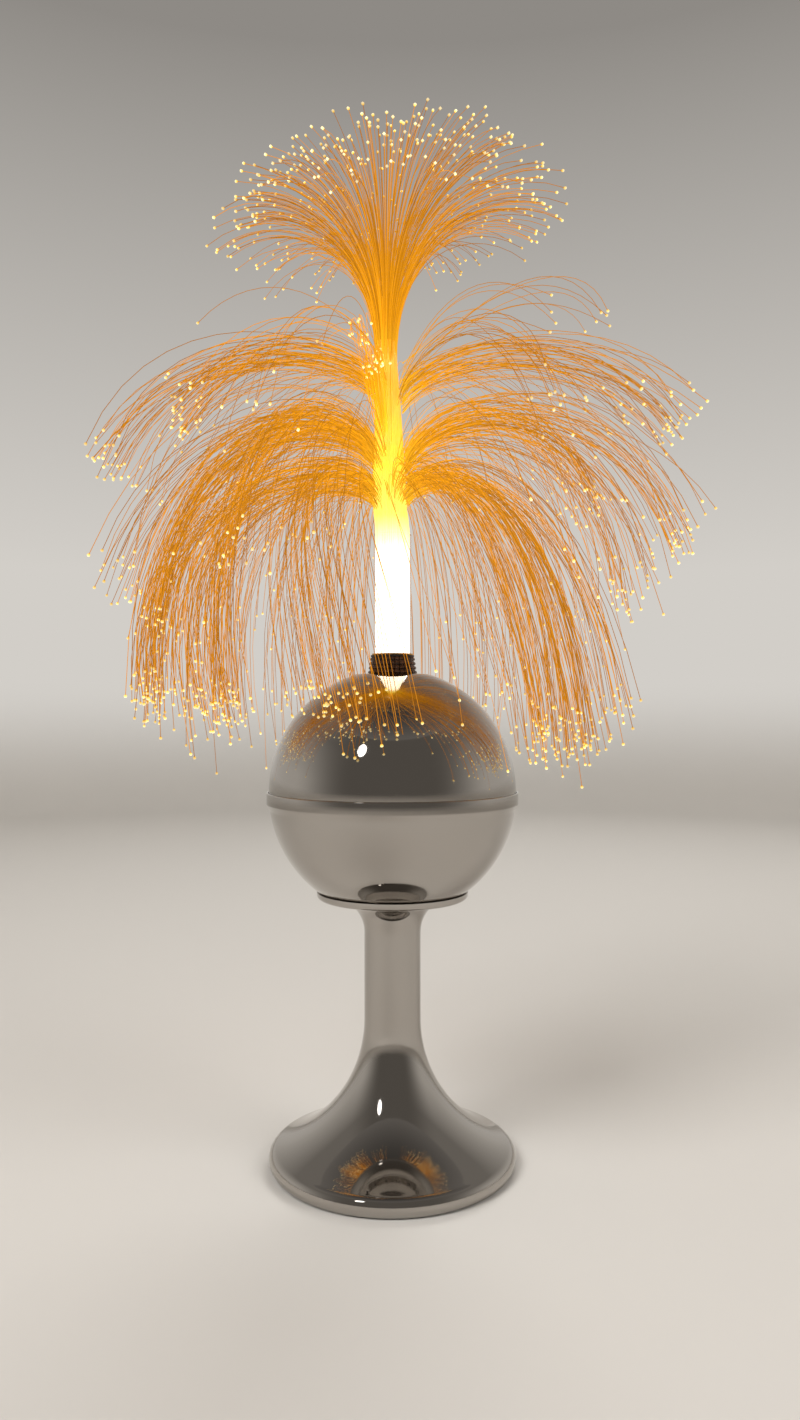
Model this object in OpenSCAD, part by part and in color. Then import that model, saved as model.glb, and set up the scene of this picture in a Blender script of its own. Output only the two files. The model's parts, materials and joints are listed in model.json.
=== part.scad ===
// Fibre optic table lamp: a ball-shaped lamp house on a trumpet foot, with a spray of plastic fibres that
// stands in its neck. Millimetres, +Z up, origin at the middle of the felt pad's underside, the lamp's back
// towards +Y.

/* [Foot and stem] */
// Radius of the foot's rounded edge
foot_edge_r = 7.8; // [7:0.2:9]
// Height of the foot's lower lip over the table
lip_h = 1; // [0.6:0.1:1.2]
// Thickness of the felt pad
pad_t = 1.8; // [1.4:0.2:3]
// Radius of the stem
stem_r = 19.5; // [18:0.5:22]
// Height at which the stem starts to sweep out to the foot
sweep_top = 100; // [90:1:120]
// Height of the stem's top face over the table
stem_top = 183; // [176:1:200]
// Radius of the small flare at the top of the stem
flare_r = 25; // [22:1:26]
// Thickness of the spun sheet of stem, saucer, bowl and dome
sheet_t = 1.2; // [1:0.1:1.5]
// Thickness of the base plate
base_t = 2; // [1.5:0.5:3]
// Thickness of the ballast
ballast_h = 6.5; // [5:0.5:8]
// Radius of the cord's hole in its grommet
grommet_bore_r = 2.7; // [2.2:0.1:2.8]

/* [Ball] */
// Outer radius of the ball, and of the foot under it
ball_r = 85; // [77:0.5:92]
// Radius of the bowl's flat floor
bowl_floor_r = 45.5; // [45:0.5:47]
// Height of the raised band round the bowl's mouth
band_h = 8; // [7:0.1:10]
// Depth that the dome sits down inside the band
dome_seat = 7.5; // [6:0.1:8]
// Radius of the flat on top of the dome
dome_flat_r = 25.5; // [24:0.5:28]
// Radius of the saucer under the ball
saucer_r = 52.2; // [50:0.2:54]
// Radius of the saucer's lower edge
saucer_edge_r = 3; // [2.5:0.1:3.5]
// Number of vent holes in the floors of bowl and saucer
vent_count = 12; // [8:1:16]
// Radius of a vent hole
vent_r = 2; // [1.5:0.1:2.2]

/* [Neck] */
// Height of the ribbed neck over the dome
neck_h = 12; // [10:0.5:14]
// Radius of the ribbed neck at its foot
neck_r = 17.4; // [17:0.1:18.5]
// Radius of the ribbed neck at its top
neck_top_r = 15.3; // [15.2:0.1:16]
// Number of ribs on the neck
rib_count = 4; // [3:1:5]
// Thickness of the liner's flange on top of the neck
liner_flange_t = 1.2; // [1:0.1:1.6]

/* [Spray] */
// Radius of the bundle of fibres where it is bound
bundle_r = 12; // [11.6:0.1:12.1]
// Height of the clear sleeve round the bundle
sleeve_h = 82; // [60:1:90]
// Thickness of the clear sleeve
sleeve_t = 1; // [0.8:0.1:1.2]
// Height of the lowest tier of fibres over the neck's top
lower_rise = 110; // [100:1:120]
// Height between one tier of fibres and the next
tier_rise = 33; // [30:1:36]
// Number of fibres in each of the three drooping tiers
tier_fibres = 60; // [48:12:60]
// Number of fibres in the crown
crown_fibres = 124; // [100:1:124]
// Thickness of a fibre
fibre_d = 0.8; // [0.6:0.05:0.85]
// Longest reach of the lowest tier from the lamp's axis
lower_reach = 126; // [120:1:130]
// How far the lowest tier hangs below the place where it leaves the bundle
lower_drop = 145; // [130:1:150]
// Longest reach of the middle tier from the lamp's axis
middle_reach = 232; // [200:1:240]
// How far the middle tier hangs below the place where it leaves the bundle
middle_drop = 205; // [150:1:210]
// Longest reach of the upper tier from the lamp's axis
upper_reach = 214; // [170:1:225]
// How far the upper tier hangs below the place where it leaves the bundle
upper_drop = 60; // [20:1:90]
// Length of the crown's fibres
crown_length = 178; // [150:1:185]
// Angle through which the crown's outermost fibres turn over
crown_bend_a = 112; // [90:1:120]

/* [Light source] */
// Height of the chassis plate over the bowl's floor
chassis_rise = 43; // [42:0.5:46]
// Thickness of the chassis plate
chassis_t = 1.6; // [1.2:0.1:2]
// Gap between the chassis plate and the bowl's wall
chassis_gap = 10; // [6:1:14]
// Distance of the colour wheel's shaft from the lamp's axis
wheel_offset = 27.5; // [27:0.5:28.5]
// Radius of the colour wheel
wheel_r = 42; // [41:0.5:43]
// Height of the colour wheel over the chassis plate
wheel_rise = 43; // [42.5:0.5:46]
// Thickness of the colour wheel's frame
wheel_t = 1.2; // [1:0.1:1.6]
// Thickness of a colour filter
filter_t = 0.6; // [0.4:0.1:0.8]
// Radius of the motor
motor_r = 15.5; // [14:0.5:16]
// Height of the motor
motor_h = 18; // [16:0.5:20]
// Radius of the motor's shaft
shaft_r = 2; // [1.5:0.1:2.2]
// Radius of the bulb's glass
bulb_r = 9.5; // [8.5:0.1:10]
// Radius of the bulb's cap
cap_r = 7.5; // [7.3:0.1:7.6]
// Angle through which the bulb turns in its holder
twist_a = 15; // [12:1:20]
// Radius of the reflector's rim
reflector_r = 21; // [18:0.5:22]

/* [Hidden] */
$fn = 96;

// Clearances: of pieces that slide or turn in each other, of pieces that are fixed, and past a cut's face
run_gap = 0.1;
fit_gap = 0.3;
press_gap = 0.05;
cut = 1;

// Foot, as wide as the ball: the middle of its rounded edge, and the sweep that runs from the stem down to it
edge_open_a = -42;
foot_r = ball_r;
edge_x = foot_r - foot_edge_r;
edge_z = lip_h - foot_edge_r * sin(edge_open_a);
sweep_fall = 21;
edge_skip_a = 3;
sweep_pull_top = 40;
sweep_pull_foot = 37.5;
sweep_end = [edge_x + foot_edge_r * sin(sweep_fall), edge_z + foot_edge_r * cos(sweep_fall)];
flare_z = stem_top - flare_r + 1;
flare_end_a = 180 - asin((stem_top - flare_z) / flare_r);
flare_out_r = stem_r + flare_r + flare_r * cos(flare_end_a);

// The ball: its floor, its middle, its mouth and the flat of the dome
floor_z = stem_top + sheet_t;
floor_top = floor_z + sheet_t;
ball_z = floor_z + sqrt(ball_r ^ 2 - bowl_floor_r ^ 2);
ball_in_r = ball_r - sheet_t;
floor_in_r = sqrt(ball_in_r ^ 2 - (ball_z - floor_top) ^ 2);
seat_z = ball_z - dome_seat;
joggle_h = 3.5;
band_in_r = ball_r + fit_gap;
band_r = band_in_r + sheet_t;
band_top = seat_z + band_h;
flat_z = ball_z + sqrt(ball_r ^ 2 - dome_flat_r ^ 2);
saucer_in_r = saucer_r - sheet_t;
saucer_top = ball_z - sqrt(ball_r ^ 2 - (saucer_in_r - fit_gap) ^ 2);
vent_at = (flare_out_r + floor_in_r) / 2;

// Tie rod: a hollow threaded pipe that clamps foot, stem, saucer and bowl together
rod_r = 5;
rod_bore_r = 3.6;
rod_end = 2;
nut_across = 16;
nut_h = 5;
washer_r = 11;
washer_t = 1.5;
dimple_r = 15;
dimple_depth = washer_t + nut_h + rod_end + 1;
base_z = pad_t;
base_r = edge_x + sqrt((foot_edge_r - sheet_t) ^ 2 - (edge_z - base_z) ^ 2) - fit_gap;
dimple_top = base_z + dimple_depth;
rod_bottom = dimple_top - washer_t - nut_h - rod_end;
rod_top = floor_top + washer_t + nut_h + rod_end;
pad_r = base_r - 2;

// Ballast in the foot, centred by the base plate's dimple
ballast_in_r = dimple_r + base_t + 0.5;
ballast_gap = 13;
ballast_r = edge_x - ballast_gap;

// Cord grommet in the back of the foot, square to the rounded edge
grommet_a = 28;
grommet_r = grommet_bore_r + 1.2;
grommet_flange_r = grommet_r + 1.5;
grommet_out = 2.2;
grommet_in = 2;

// Chassis plate, its posts and screws
chassis_z = floor_top + chassis_rise;
chassis_top = chassis_z + chassis_t;
chassis_r = sqrt(ball_in_r ^ 2 - (ball_z - chassis_z) ^ 2) - chassis_gap;
post_r = 4;
post_at = 34;
post_count = 4;
post_a = 45;
screw_r = 1.5;
screw_gap = 0.2;
screw_head_r = 2.8;
screw_head_h = 2;
slot_w = 0.8;
screw_bite = 6;
chassis_vents = 8;
chassis_vent_r = 4;
chassis_vent_at = chassis_r - 3.5 * chassis_vent_r;

// Transformer, hung under the chassis plate by a strap
core_leg = 8;
core_window = 10;
core_middle = 16;
core_w = 2 * core_leg + 2 * core_window + core_middle;
core_d = 22;
core_h = 30;
core_x = 0;
core_z = chassis_z - core_h;
coil_wall = core_window - 2 * fit_gap;
coil_h = core_h - 2 * core_leg - fit_gap;
coil_edge = 3;
strap_t = 1.4;
strap_w = 14;
strap_ear = 9;
strap_x = core_w / 2 + strap_t + fit_gap;
strap_screw_x = strap_x + strap_ear / 2;

// Motor, its ears, and the colour wheel on its shaft
motor_neck_r = 5;
motor_neck_h = 4;
motor_ear_r = 3;
motor_ear_at = motor_r + motor_ear_r;
motor_ear_t = 1.5;
motor_top = chassis_top + motor_h;
shaft_down = 8;
wheel_z = chassis_top + wheel_rise;
wheel_rim = 2.5;
wheel_lap = 1.5;
wheel_eye_r = 11;
wheel_eye_lap = 2;
spoke_w = 3;
filter_split = 0.6;
filters = 4;
hub_r = 6;
hub_h = 5;
hub_flange_r = wheel_eye_r - 0.6;
hub_flange_t = 2;
hub_neck_r = 4;
wheel_nut_across = 12;
wheel_nut_h = 3;
hub_top = wheel_z + wheel_t + wheel_nut_h + 0.6;
hub_bottom = wheel_z - hub_flange_t - hub_h;

// Lamp holder on the lamp's axis, with slots for the bulb's two pins
holder_in_r = cap_r + 0.25;
holder_r = holder_in_r + 1.5;
holder_h = 19;
holder_floor = 3;
holder_base_t = 2.5;
holder_ear_at = 14;
holder_ear_r = 3.5;
contact_r = 2;
contact_h = 3.5;
cap_h = 14;
cap_z = chassis_top + holder_floor + contact_h + run_gap;
cap_top = cap_z + cap_h;
pin_r = 1;
pin_gap = 0.2;
pin_out = holder_r - 0.3;
pin_z = cap_z + 5;
bulb_z = cap_top + bulb_r - 1;
glass_t = 0.8;
glass_neck_r = cap_r - 1;
reflector_t = 0.8;
reflector_h = 13;
reflector_z = chassis_top + holder_h;
reflector_in_r = holder_in_r + 0.4;
filament_r = 0.5;
filament_l = 6;
support_r = 0.35;

// Terminal block and leads
block_l = 26;
block_w = 11;
block_h = 9;
block_edge = 16.5;
block_x = chassis_r - block_edge - block_w / 2;
lead_r = 0.9;
lead_sides = 6;
lead_up = 14;
lead_pull = 12;
lead_stub = 2;
lamp_lead_y = 3;
lamp_lead_z = 5;
motor_lead_y = 11;
motor_lead_z = 8;

// Neck of the dome: collar, its nut under the dome's flat, and the liner that turns in it
ferrule_in_r = bundle_r + press_gap;
ferrule_r = bundle_r + 0.8;
liner_bore_r = ferrule_r + run_gap;
liner_r = liner_bore_r + 0.8;
collar_bore_r = liner_r + run_gap;
spigot_r = collar_bore_r + 1.5;
spigot_down = 12;
neck_nut_r = 21;
neck_nut_h = 5;
rib_out = 0.6;
neck_top = flat_z + neck_h;
liner_top = neck_top + liner_flange_t;
liner_bottom = flat_z - spigot_down;
liner_flange_r = neck_top_r - 0.3;

// The bundle, its ferrule, and where each tier of fibres leaves it
ferrule_gap = 8;
ferrule_bottom = wheel_z + wheel_t + ferrule_gap;
ferrule_flange_r = 14.2;
ferrule_flange_t = 1;
ferrule_top = liner_top + ferrule_flange_t;
lower_z = neck_top + lower_rise;
middle_z = lower_z + tier_rise;
upper_z = middle_z + tier_rise;
crown_z = upper_z + tier_rise;
slice_h = 4;
ring_w = 1.3;
root_up = 1;
lower_ring_r = bundle_r;
middle_ring_r = lower_ring_r - ring_w;
upper_ring_r = middle_ring_r - ring_w;
crown_ring_r = upper_ring_r - ring_w;

// Shape of the fibres. Each one stays in its own upright plane through the lamp's axis. A wave round the lamp
// gathers them in tufts, and each fibre has its own share of it.
strand_sides = 3;
tier_steps = 5;
crown_steps = 4;
tier_turn = 360 / tier_fibres;
wave_count = 6;
wave_part = 0.3;
drop_wave_a = 110;
drop_wave_step_a = 40;
scatter_part = 0.2;
least_reach = 0.6;
lower_least = 0.45;
middle_least = 0.1;
upper_least = -1;
lower_over = 20;
middle_over = 27;
upper_over = 45;
seed = 7;
scatter = rands(0, 1, 6 * tier_fibres + crown_fibres, seed);

// ---------------------------------------------------------------- helpers

// Points along an arc about [cx, cy], from angle a0 to angle a1 in n steps
function arc(cx, cy, r, a0, a1, n) =
    [for (i = [0:n]) let (a = a0 + (a1 - a0) * i / n) [cx + r * cos(a), cy + r * sin(a)]];

// Point at t on a cubic curve with control points p
function bezier(p, t) =
    p[0] * (1 - t) ^ 3 + 3 * p[1] * t * (1 - t) ^ 2 + 3 * p[2] * t ^ 2 * (1 - t) + p[3] * t ^ 3;

function unit(v) = v / norm(v);
function reversed(list) = [for (i = [len(list) - 1:-1:0]) list[i]];

// Direction of a route at its point i, and a plane outline moved sideways by d
function heading(pts, i) = unit(pts[min(i + 1, len(pts) - 1)] - pts[max(i - 1, 0)]);
function beside(pts, d) = [for (i = [0:len(pts) - 1]) let (h = heading(pts, i)) pts[i] + d * [h[1], -h[0]]];

// One ring of a tube, square to the route. side is a direction that the route never runs along.
function ring(p, dir, side, r, sides) =
    let (u = unit(cross(dir, side)), v = cross(dir, u))
    [for (k = [0:sides - 1]) p + r * (cos(360 * k / sides) * u + sin(360 * k / sides) * v)];

// Triangles of a closed tube of n rings whose first point has number first
function tube_faces(n, sides, first) = concat(
    [for (i = [0:n - 2], k = [0:sides - 1])
        let (a = first + i * sides + k, b = first + i * sides + (k + 1) % sides) [a, a + sides, b]],
    [for (i = [0:n - 2], k = [0:sides - 1])
        let (a = first + i * sides + k, b = first + i * sides + (k + 1) % sides) [b, a + sides, b + sides]],
    [for (k = [1:sides - 2]) [first, first + k, first + k + 1]],
    [for (k = [1:sides - 2]) let (e = first + (n - 1) * sides) [e, e + k + 1, e + k]]
);

// Tubes along routes that all have the same number of points
module tubes(routes, sideways, r, sides) {
    n = len(routes[0]);
    points = [for (j = [0:len(routes) - 1], i = [0:n - 1])
        each ring(routes[j][i], heading(routes[j], i), sideways[j], r, sides)];
    faces = [for (j = [0:len(routes) - 1]) each tube_faces(n, sides, j * n * sides)];
    polyhedron(points, faces);
}

// A tube with true walls
module pipe(r, bore_r, h) {
    difference() {
        cylinder(r = r, h = h);
        translate([0, 0, -cut]) cylinder(r = bore_r, h = h + 2 * cut);
    }
}

// A ring cut to the part of a turn from angle a0 to angle a1
module pipe_sector(r, bore_r, h, a0, a1) {
    rotate([0, 0, a0]) rotate_extrude(angle = a1 - a0) translate([bore_r, 0]) square([r - bore_r, h]);
}

// A hexagon nut with a clearance hole
module nut(across, bore_r, h) {
    difference() {
        cylinder(d = across / cos(30), h = h, $fn = 6);
        translate([0, 0, -cut]) cylinder(r = bore_r, h = h + 2 * cut, $fn = 48);
    }
}

// A round-headed screw, its head on z = 0 and its shank down
module screw(length) {
    translate([0, 0, -length]) cylinder(r = screw_r, h = length, $fn = 32);
    difference() {
        cylinder(r = screw_head_r, h = screw_head_h, $fn = 32);
        translate([-screw_head_r - cut, -slot_w / 2, screw_head_h / 2])
            cube([2 * (screw_head_r + cut), slot_w, screw_head_h]);
    }
}

module screw_hole(depth) {
    translate([0, 0, -depth]) cylinder(r = screw_r + screw_gap, h = depth + cut, $fn = 32);
}

// Children repeated round the axis
module around(count, radius, turn = 0) {
    for (i = [0:count - 1]) rotate([0, 0, turn + 360 * i / count]) translate([radius, 0, 0]) children();
}

module at_pair_y(y) {
    for (s = [-1, 1]) translate([0, s * y, 0]) children();
}

// ---------------------------------------------------------------- foot and stem

module felt_pad() {
    color("#1f2a22") cylinder(r = pad_r, h = pad_t);
}

module base_plate() {
    color("#3a3d40") difference() {
        union() {
            translate([0, 0, base_z]) cylinder(r = base_r, h = base_t);
            translate([0, 0, base_z]) cylinder(r = dimple_r + base_t, h = dimple_depth + base_t);
        }
        translate([0, 0, base_z - cut]) cylinder(r = dimple_r, h = dimple_depth + cut);
        translate([0, 0, base_z]) cylinder(r = rod_r + fit_gap, h = dimple_depth + base_t + cut);
    }
}

module ballast_disc() {
    color("#2b2b2d") translate([0, 0, base_z + base_t]) pipe(ballast_r, ballast_in_r, ballast_h);
}

// The spun trumpet's outer face: rolled edge, long sweep, straight stem and flared top
pedestal_line = concat(
    arc(edge_x, edge_z, foot_edge_r, edge_open_a, 90 - sweep_fall - edge_skip_a, 18),
    [for (i = [0:24]) bezier([
        sweep_end,
        sweep_end + sweep_pull_foot * [-cos(sweep_fall), sin(sweep_fall)],
        [stem_r, sweep_top - sweep_pull_top],
        [stem_r, sweep_top]
    ], i / 24)],
    arc(stem_r + flare_r, flare_z, flare_r, 180, flare_end_a - 4, 12)
);

// Moves and turns from the lamp's axis to the grommet's, which points out of the foot's back
module at_grommet() {
    translate([0, edge_x, edge_z]) rotate([grommet_a - 90, 0, 0]) children();
}

module pedestal_shell() {
    color("#c9ccd0") difference() {
        rotate_extrude() intersection() {
            polygon(concat(pedestal_line, reversed(beside(pedestal_line, -sheet_t))));
            square([foot_r + cut, stem_top]);
        }
        at_grommet() cylinder(r = grommet_r + fit_gap, h = foot_edge_r + cut);
    }
}

module cord_grommet() {
    wall_in = foot_edge_r - sheet_t;
    length = grommet_in + sheet_t + grommet_out;
    color("#17181a") at_grommet() translate([0, 0, wall_in - grommet_in]) difference() {
        union() {
            cylinder(r = grommet_r, h = length);
            translate([0, 0, length - grommet_out + fit_gap])
                cylinder(r = grommet_flange_r, h = grommet_out - fit_gap);
        }
        translate([0, 0, -cut]) cylinder(r = grommet_bore_r, h = length + 2 * cut);
    }
}

module tie_rod() {
    color("#b98a3c") translate([0, 0, rod_bottom]) pipe(rod_r, rod_bore_r, rod_top - rod_bottom);
}

module rod_nuts() {
    color("#a8abb0") {
        translate([0, 0, dimple_top - washer_t - nut_h]) nut(nut_across, rod_r + press_gap, nut_h);
        translate([0, 0, floor_top + washer_t]) nut(nut_across, rod_r + press_gap, nut_h);
    }
}

module rod_washers() {
    color("#a8abb0") {
        translate([0, 0, dimple_top - washer_t]) pipe(washer_r, rod_r + fit_gap, washer_t);
        translate([0, 0, floor_top]) pipe(washer_r, rod_r + fit_gap, washer_t);
    }
}

// ---------------------------------------------------------------- ball

module vents() {
    around(vent_count, vent_at, 180 / vent_count) translate([0, 0, stem_top - cut])
        cylinder(r = vent_r, h = 2 * sheet_t + 2 * cut, $fn = 32);
}

module saucer() {
    edge_in_r = saucer_edge_r - sheet_t;
    edge_c = [saucer_r - saucer_edge_r, stem_top + saucer_edge_r];
    color("#c9ccd0") difference() {
        rotate_extrude() polygon(concat(
            [[rod_r + fit_gap, stem_top]],
            arc(edge_c[0], edge_c[1], saucer_edge_r, -90, 0, 10),
            [[saucer_r, saucer_top], [saucer_in_r, saucer_top]],
            arc(edge_c[0], edge_c[1], edge_in_r, 0, -90, 8),
            [[rod_r + fit_gap, stem_top + sheet_t]]
        ));
        vents();
    }
}

module lower_bowl() {
    bead = sheet_t / 2;
    color("#c9ccd0") difference() {
        rotate_extrude() polygon(concat(
            [[rod_r + fit_gap, floor_z]],
            arc(0, ball_z, ball_r, -acos(bowl_floor_r / ball_r), -asin((dome_seat + joggle_h) / ball_r), 30),
            [[band_r, seat_z]],
            arc(band_in_r + bead, band_top - bead, bead, 0, 180, 8),
            [[band_in_r, seat_z]],
            arc(0, ball_z, ball_in_r, -asin(dome_seat / ball_in_r), -acos(floor_in_r / ball_in_r), 30),
            [[rod_r + fit_gap, floor_top]]
        ));
        vents();
    }
}

module upper_dome() {
    flat_in_z = flat_z - sheet_t;
    color("#c9ccd0") rotate_extrude() polygon(concat(
        [[ball_in_r, seat_z], [ball_r, seat_z]],
        arc(0, ball_z, ball_r, 0, acos(dome_flat_r / ball_r), 36),
        [[spigot_r + fit_gap, flat_z], [spigot_r + fit_gap, flat_in_z]],
        arc(0, ball_z, ball_in_r, asin((flat_in_z - ball_z) / ball_in_r), 0, 36)
    ));
}

// ---------------------------------------------------------------- chassis and transformer

module chassis_posts() {
    color("#b9bcc2") around(post_count, post_at, post_a) translate([0, 0, floor_top]) difference() {
        cylinder(r = post_r, h = chassis_rise, $fn = 48);
        translate([0, 0, chassis_rise]) screw_hole(screw_bite + screw_gap);
    }
}

module chassis_plate() {
    through = chassis_t + cut;
    color("#d5d8dc") translate([0, 0, chassis_top]) difference() {
        translate([0, 0, -chassis_t]) cylinder(r = chassis_r, h = chassis_t);
        around(post_count, post_at, post_a) screw_hole(through);
        around(chassis_vents, chassis_vent_at, 180 / chassis_vents) translate([0, 0, -through])
            cylinder(r = chassis_vent_r, h = through + cut, $fn = 48);
        at_pair_y(holder_ear_at) screw_hole(through);
        translate([-wheel_offset, 0, 0]) at_pair_y(motor_ear_at) screw_hole(through);
        for (s = [-1, 1]) translate([core_x + s * strap_screw_x, 0, 0]) screw_hole(through);
    }
}

module chassis_screws() {
    color("#8d9096") around(post_count, post_at, post_a) translate([0, 0, chassis_top])
        screw(chassis_t + screw_bite);
}

module transformer_core() {
    window_h = core_h - 2 * core_leg;
    color("#4b4a48") translate([core_x, 0, core_z]) difference() {
        translate([-core_w / 2, -core_d / 2, 0]) cube([core_w, core_d, core_h]);
        for (s = [-1, 1])
            translate([s * (core_middle + core_window) / 2 - core_window / 2, -core_d / 2 - cut, core_leg])
                cube([core_window, core_d + 2 * cut, window_h]);
    }
}

// The winding fills the core's windows and bulges out of them in front and behind
module transformer_coil() {
    half_x = core_middle / 2 + fit_gap + coil_wall;
    half_y = core_d / 2 + fit_gap + coil_wall;
    color("#b5651d") translate([core_x, 0, core_z + core_h / 2 - coil_h / 2]) difference() {
        union() {
            translate([-half_x + coil_edge, -half_y, 0]) cube([2 * (half_x - coil_edge), 2 * half_y, coil_h]);
            translate([-half_x, -half_y + coil_edge, 0]) cube([2 * half_x, 2 * (half_y - coil_edge), coil_h]);
            for (sx = [-1, 1], sy = [-1, 1])
                translate([sx * (half_x - coil_edge), sy * (half_y - coil_edge), 0])
                    cylinder(r = coil_edge, h = coil_h, $fn = 32);
        }
        translate([-core_middle / 2 - fit_gap, -core_d / 2 - fit_gap, -cut])
            cube([core_middle + 2 * fit_gap, core_d + 2 * fit_gap, coil_h + 2 * cut]);
    }
}

// A strap under the core, with an ear on each side against the chassis plate
module transformer_clamp() {
    inner = core_w / 2 + fit_gap;
    color("#9a9da3") translate([core_x, 0, core_z - strap_t]) difference() {
        union() {
            translate([-strap_x, -strap_w / 2, 0]) cube([2 * strap_x, strap_w, core_h + strap_t]);
            translate([-strap_x - strap_ear, -strap_w / 2, core_h])
                cube([2 * (strap_x + strap_ear), strap_w, strap_t]);
        }
        translate([-inner, -strap_w / 2 - cut, strap_t]) cube([2 * inner, strap_w + 2 * cut, core_h + cut]);
        for (s = [-1, 1]) translate([s * strap_screw_x, 0, core_h + strap_t]) screw_hole(strap_t + cut);
    }
}

module transformer_screws() {
    color("#8d9096") for (s = [-1, 1])
        translate([core_x + s * strap_screw_x, 0, chassis_z - strap_t]) rotate([180, 0, 0])
            screw(strap_t + chassis_t - screw_gap);
}

// ---------------------------------------------------------------- motor and colour wheel

module at_wheel() {
    translate([-wheel_offset, 0, 0]) children();
}

module motor_body() {
    color("#8a8d92") at_wheel() translate([0, 0, chassis_top]) difference() {
        union() {
            cylinder(r = motor_r, h = motor_h);
            translate([0, 0, motor_h]) cylinder(r = motor_neck_r, h = motor_neck_h, $fn = 48);
            translate([-motor_ear_r, -motor_ear_at, 0])
                cube([2 * motor_ear_r, 2 * motor_ear_at, motor_ear_t]);
            at_pair_y(motor_ear_at) cylinder(r = motor_ear_r, h = motor_ear_t, $fn = 48);
        }
        translate([0, 0, motor_h - shaft_down - run_gap])
            cylinder(r = shaft_r + run_gap, h = shaft_down + motor_neck_h + cut, $fn = 48);
        at_pair_y(motor_ear_at) translate([0, 0, motor_ear_t]) screw_hole(motor_ear_t + cut);
    }
}

module motor_screws() {
    color("#8d9096") at_wheel() at_pair_y(motor_ear_at) translate([0, 0, chassis_top + motor_ear_t])
        screw(motor_ear_t + chassis_t - screw_gap);
}

module motor_shaft() {
    bottom = motor_top - shaft_down;
    color("#b9bcc2") at_wheel() translate([0, 0, bottom])
        cylinder(r = shaft_r, h = hub_top - bottom, $fn = 48);
}

module wheel_hub() {
    color("#e8e4d8") at_wheel() difference() {
        union() {
            translate([0, 0, hub_bottom]) cylinder(r = hub_r, h = hub_h, $fn = 48);
            translate([0, 0, wheel_z - hub_flange_t]) cylinder(r = hub_flange_r, h = hub_flange_t);
            translate([0, 0, wheel_z]) cylinder(r = hub_neck_r, h = hub_top - wheel_z, $fn = 48);
        }
        translate([0, 0, hub_bottom - cut])
            cylinder(r = shaft_r + press_gap, h = hub_top - hub_bottom + 2 * cut, $fn = 48);
    }
}

// A rim and an eye joined by spokes, which lie over the joints between the filters
module wheel_frame() {
    rim_in_r = wheel_r - wheel_rim;
    color("#5a5c60") at_wheel() translate([0, 0, wheel_z]) difference() {
        union() {
            pipe(wheel_r, rim_in_r, wheel_t);
            cylinder(r = wheel_eye_r + wheel_eye_lap, h = wheel_t);
            around(filters, 0, 180 / filters) translate([0, -spoke_w / 2, 0])
                cube([rim_in_r + wheel_rim / 2, spoke_w, wheel_t]);
        }
        translate([0, 0, -cut]) cylinder(r = hub_neck_r + press_gap, h = wheel_t + 2 * cut, $fn = 48);
    }
}

module wheel_nut() {
    color("#b98a3c") at_wheel() translate([0, 0, wheel_z + wheel_t])
        nut(wheel_nut_across, hub_neck_r + press_gap, wheel_nut_h);
}

// Filter number i of the wheel, against the frame's underside. Number 0 lies over the bulb.
module filter(i) {
    half = 180 / filters;
    split = filter_split / wheel_eye_r * 90 / PI;
    at_wheel() translate([0, 0, wheel_z - filter_t]) pipe_sector(
        wheel_r - wheel_rim + wheel_lap, wheel_eye_r, filter_t,
        2 * half * i - half + split, 2 * half * i + half - split
    );
}

module filter_amber() { color("#ff9a00") filter(0); }
module filter_red() { color("#e0261c") filter(1); }
module filter_green() { color("#2fa84a") filter(2); }
module filter_blue() { color("#2a5bd7") filter(3); }

// ---------------------------------------------------------------- lamp holder and bulb

// The way of one pin: down a slot in the wall, then round to its place of rest
module pin_way() {
    half = pin_r + pin_gap;
    half_a = asin(half / holder_in_r);
    translate([0, 0, pin_z - half]) {
        pipe_sector(holder_r + cut, holder_in_r - cut, 2 * half, -half_a, twist_a + half_a);
        pipe_sector(
            holder_r + cut, holder_in_r - cut, reflector_z - pin_z + half + cut,
            twist_a - half_a, twist_a + half_a
        );
    }
}

module lamp_holder() {
    color("#e9e3d2") difference() {
        translate([0, 0, chassis_top]) difference() {
            union() {
                cylinder(r = holder_r, h = holder_h);
                translate([-holder_ear_r, -holder_ear_at, 0])
                    cube([2 * holder_ear_r, 2 * holder_ear_at, holder_base_t]);
                at_pair_y(holder_ear_at) cylinder(r = holder_ear_r, h = holder_base_t, $fn = 48);
            }
            translate([0, 0, holder_floor]) cylinder(r = holder_in_r, h = holder_h);
            at_pair_y(holder_ear_at) translate([0, 0, holder_base_t]) screw_hole(holder_base_t + cut);
        }
        for (s = [0, 180]) rotate([0, 0, s]) pin_way();
    }
}

module holder_contact() {
    color("#b98a3c") translate([0, 0, chassis_top + holder_floor])
        cylinder(r = contact_r, h = contact_h, $fn = 32);
}

module holder_screws() {
    color("#8d9096") at_pair_y(holder_ear_at) translate([0, 0, chassis_top + holder_base_t])
        screw(holder_base_t + chassis_t - screw_gap);
}

// A dish on the holder's mouth
module reflector() {
    rise = [for (i = [0:16]) let (t = i / 16) [
        holder_r + (reflector_r - holder_r) * sin(90 * t),
        reflector_z + reflector_t + reflector_h * t ^ 1.6
    ]];
    color("#d8dade") rotate_extrude() polygon(concat(
        [[reflector_in_r, reflector_z + reflector_t], [reflector_in_r, reflector_z], [holder_r, reflector_z]],
        [for (p = rise) p + [reflector_t, 0]],
        reversed(rise)
    ));
}

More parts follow.
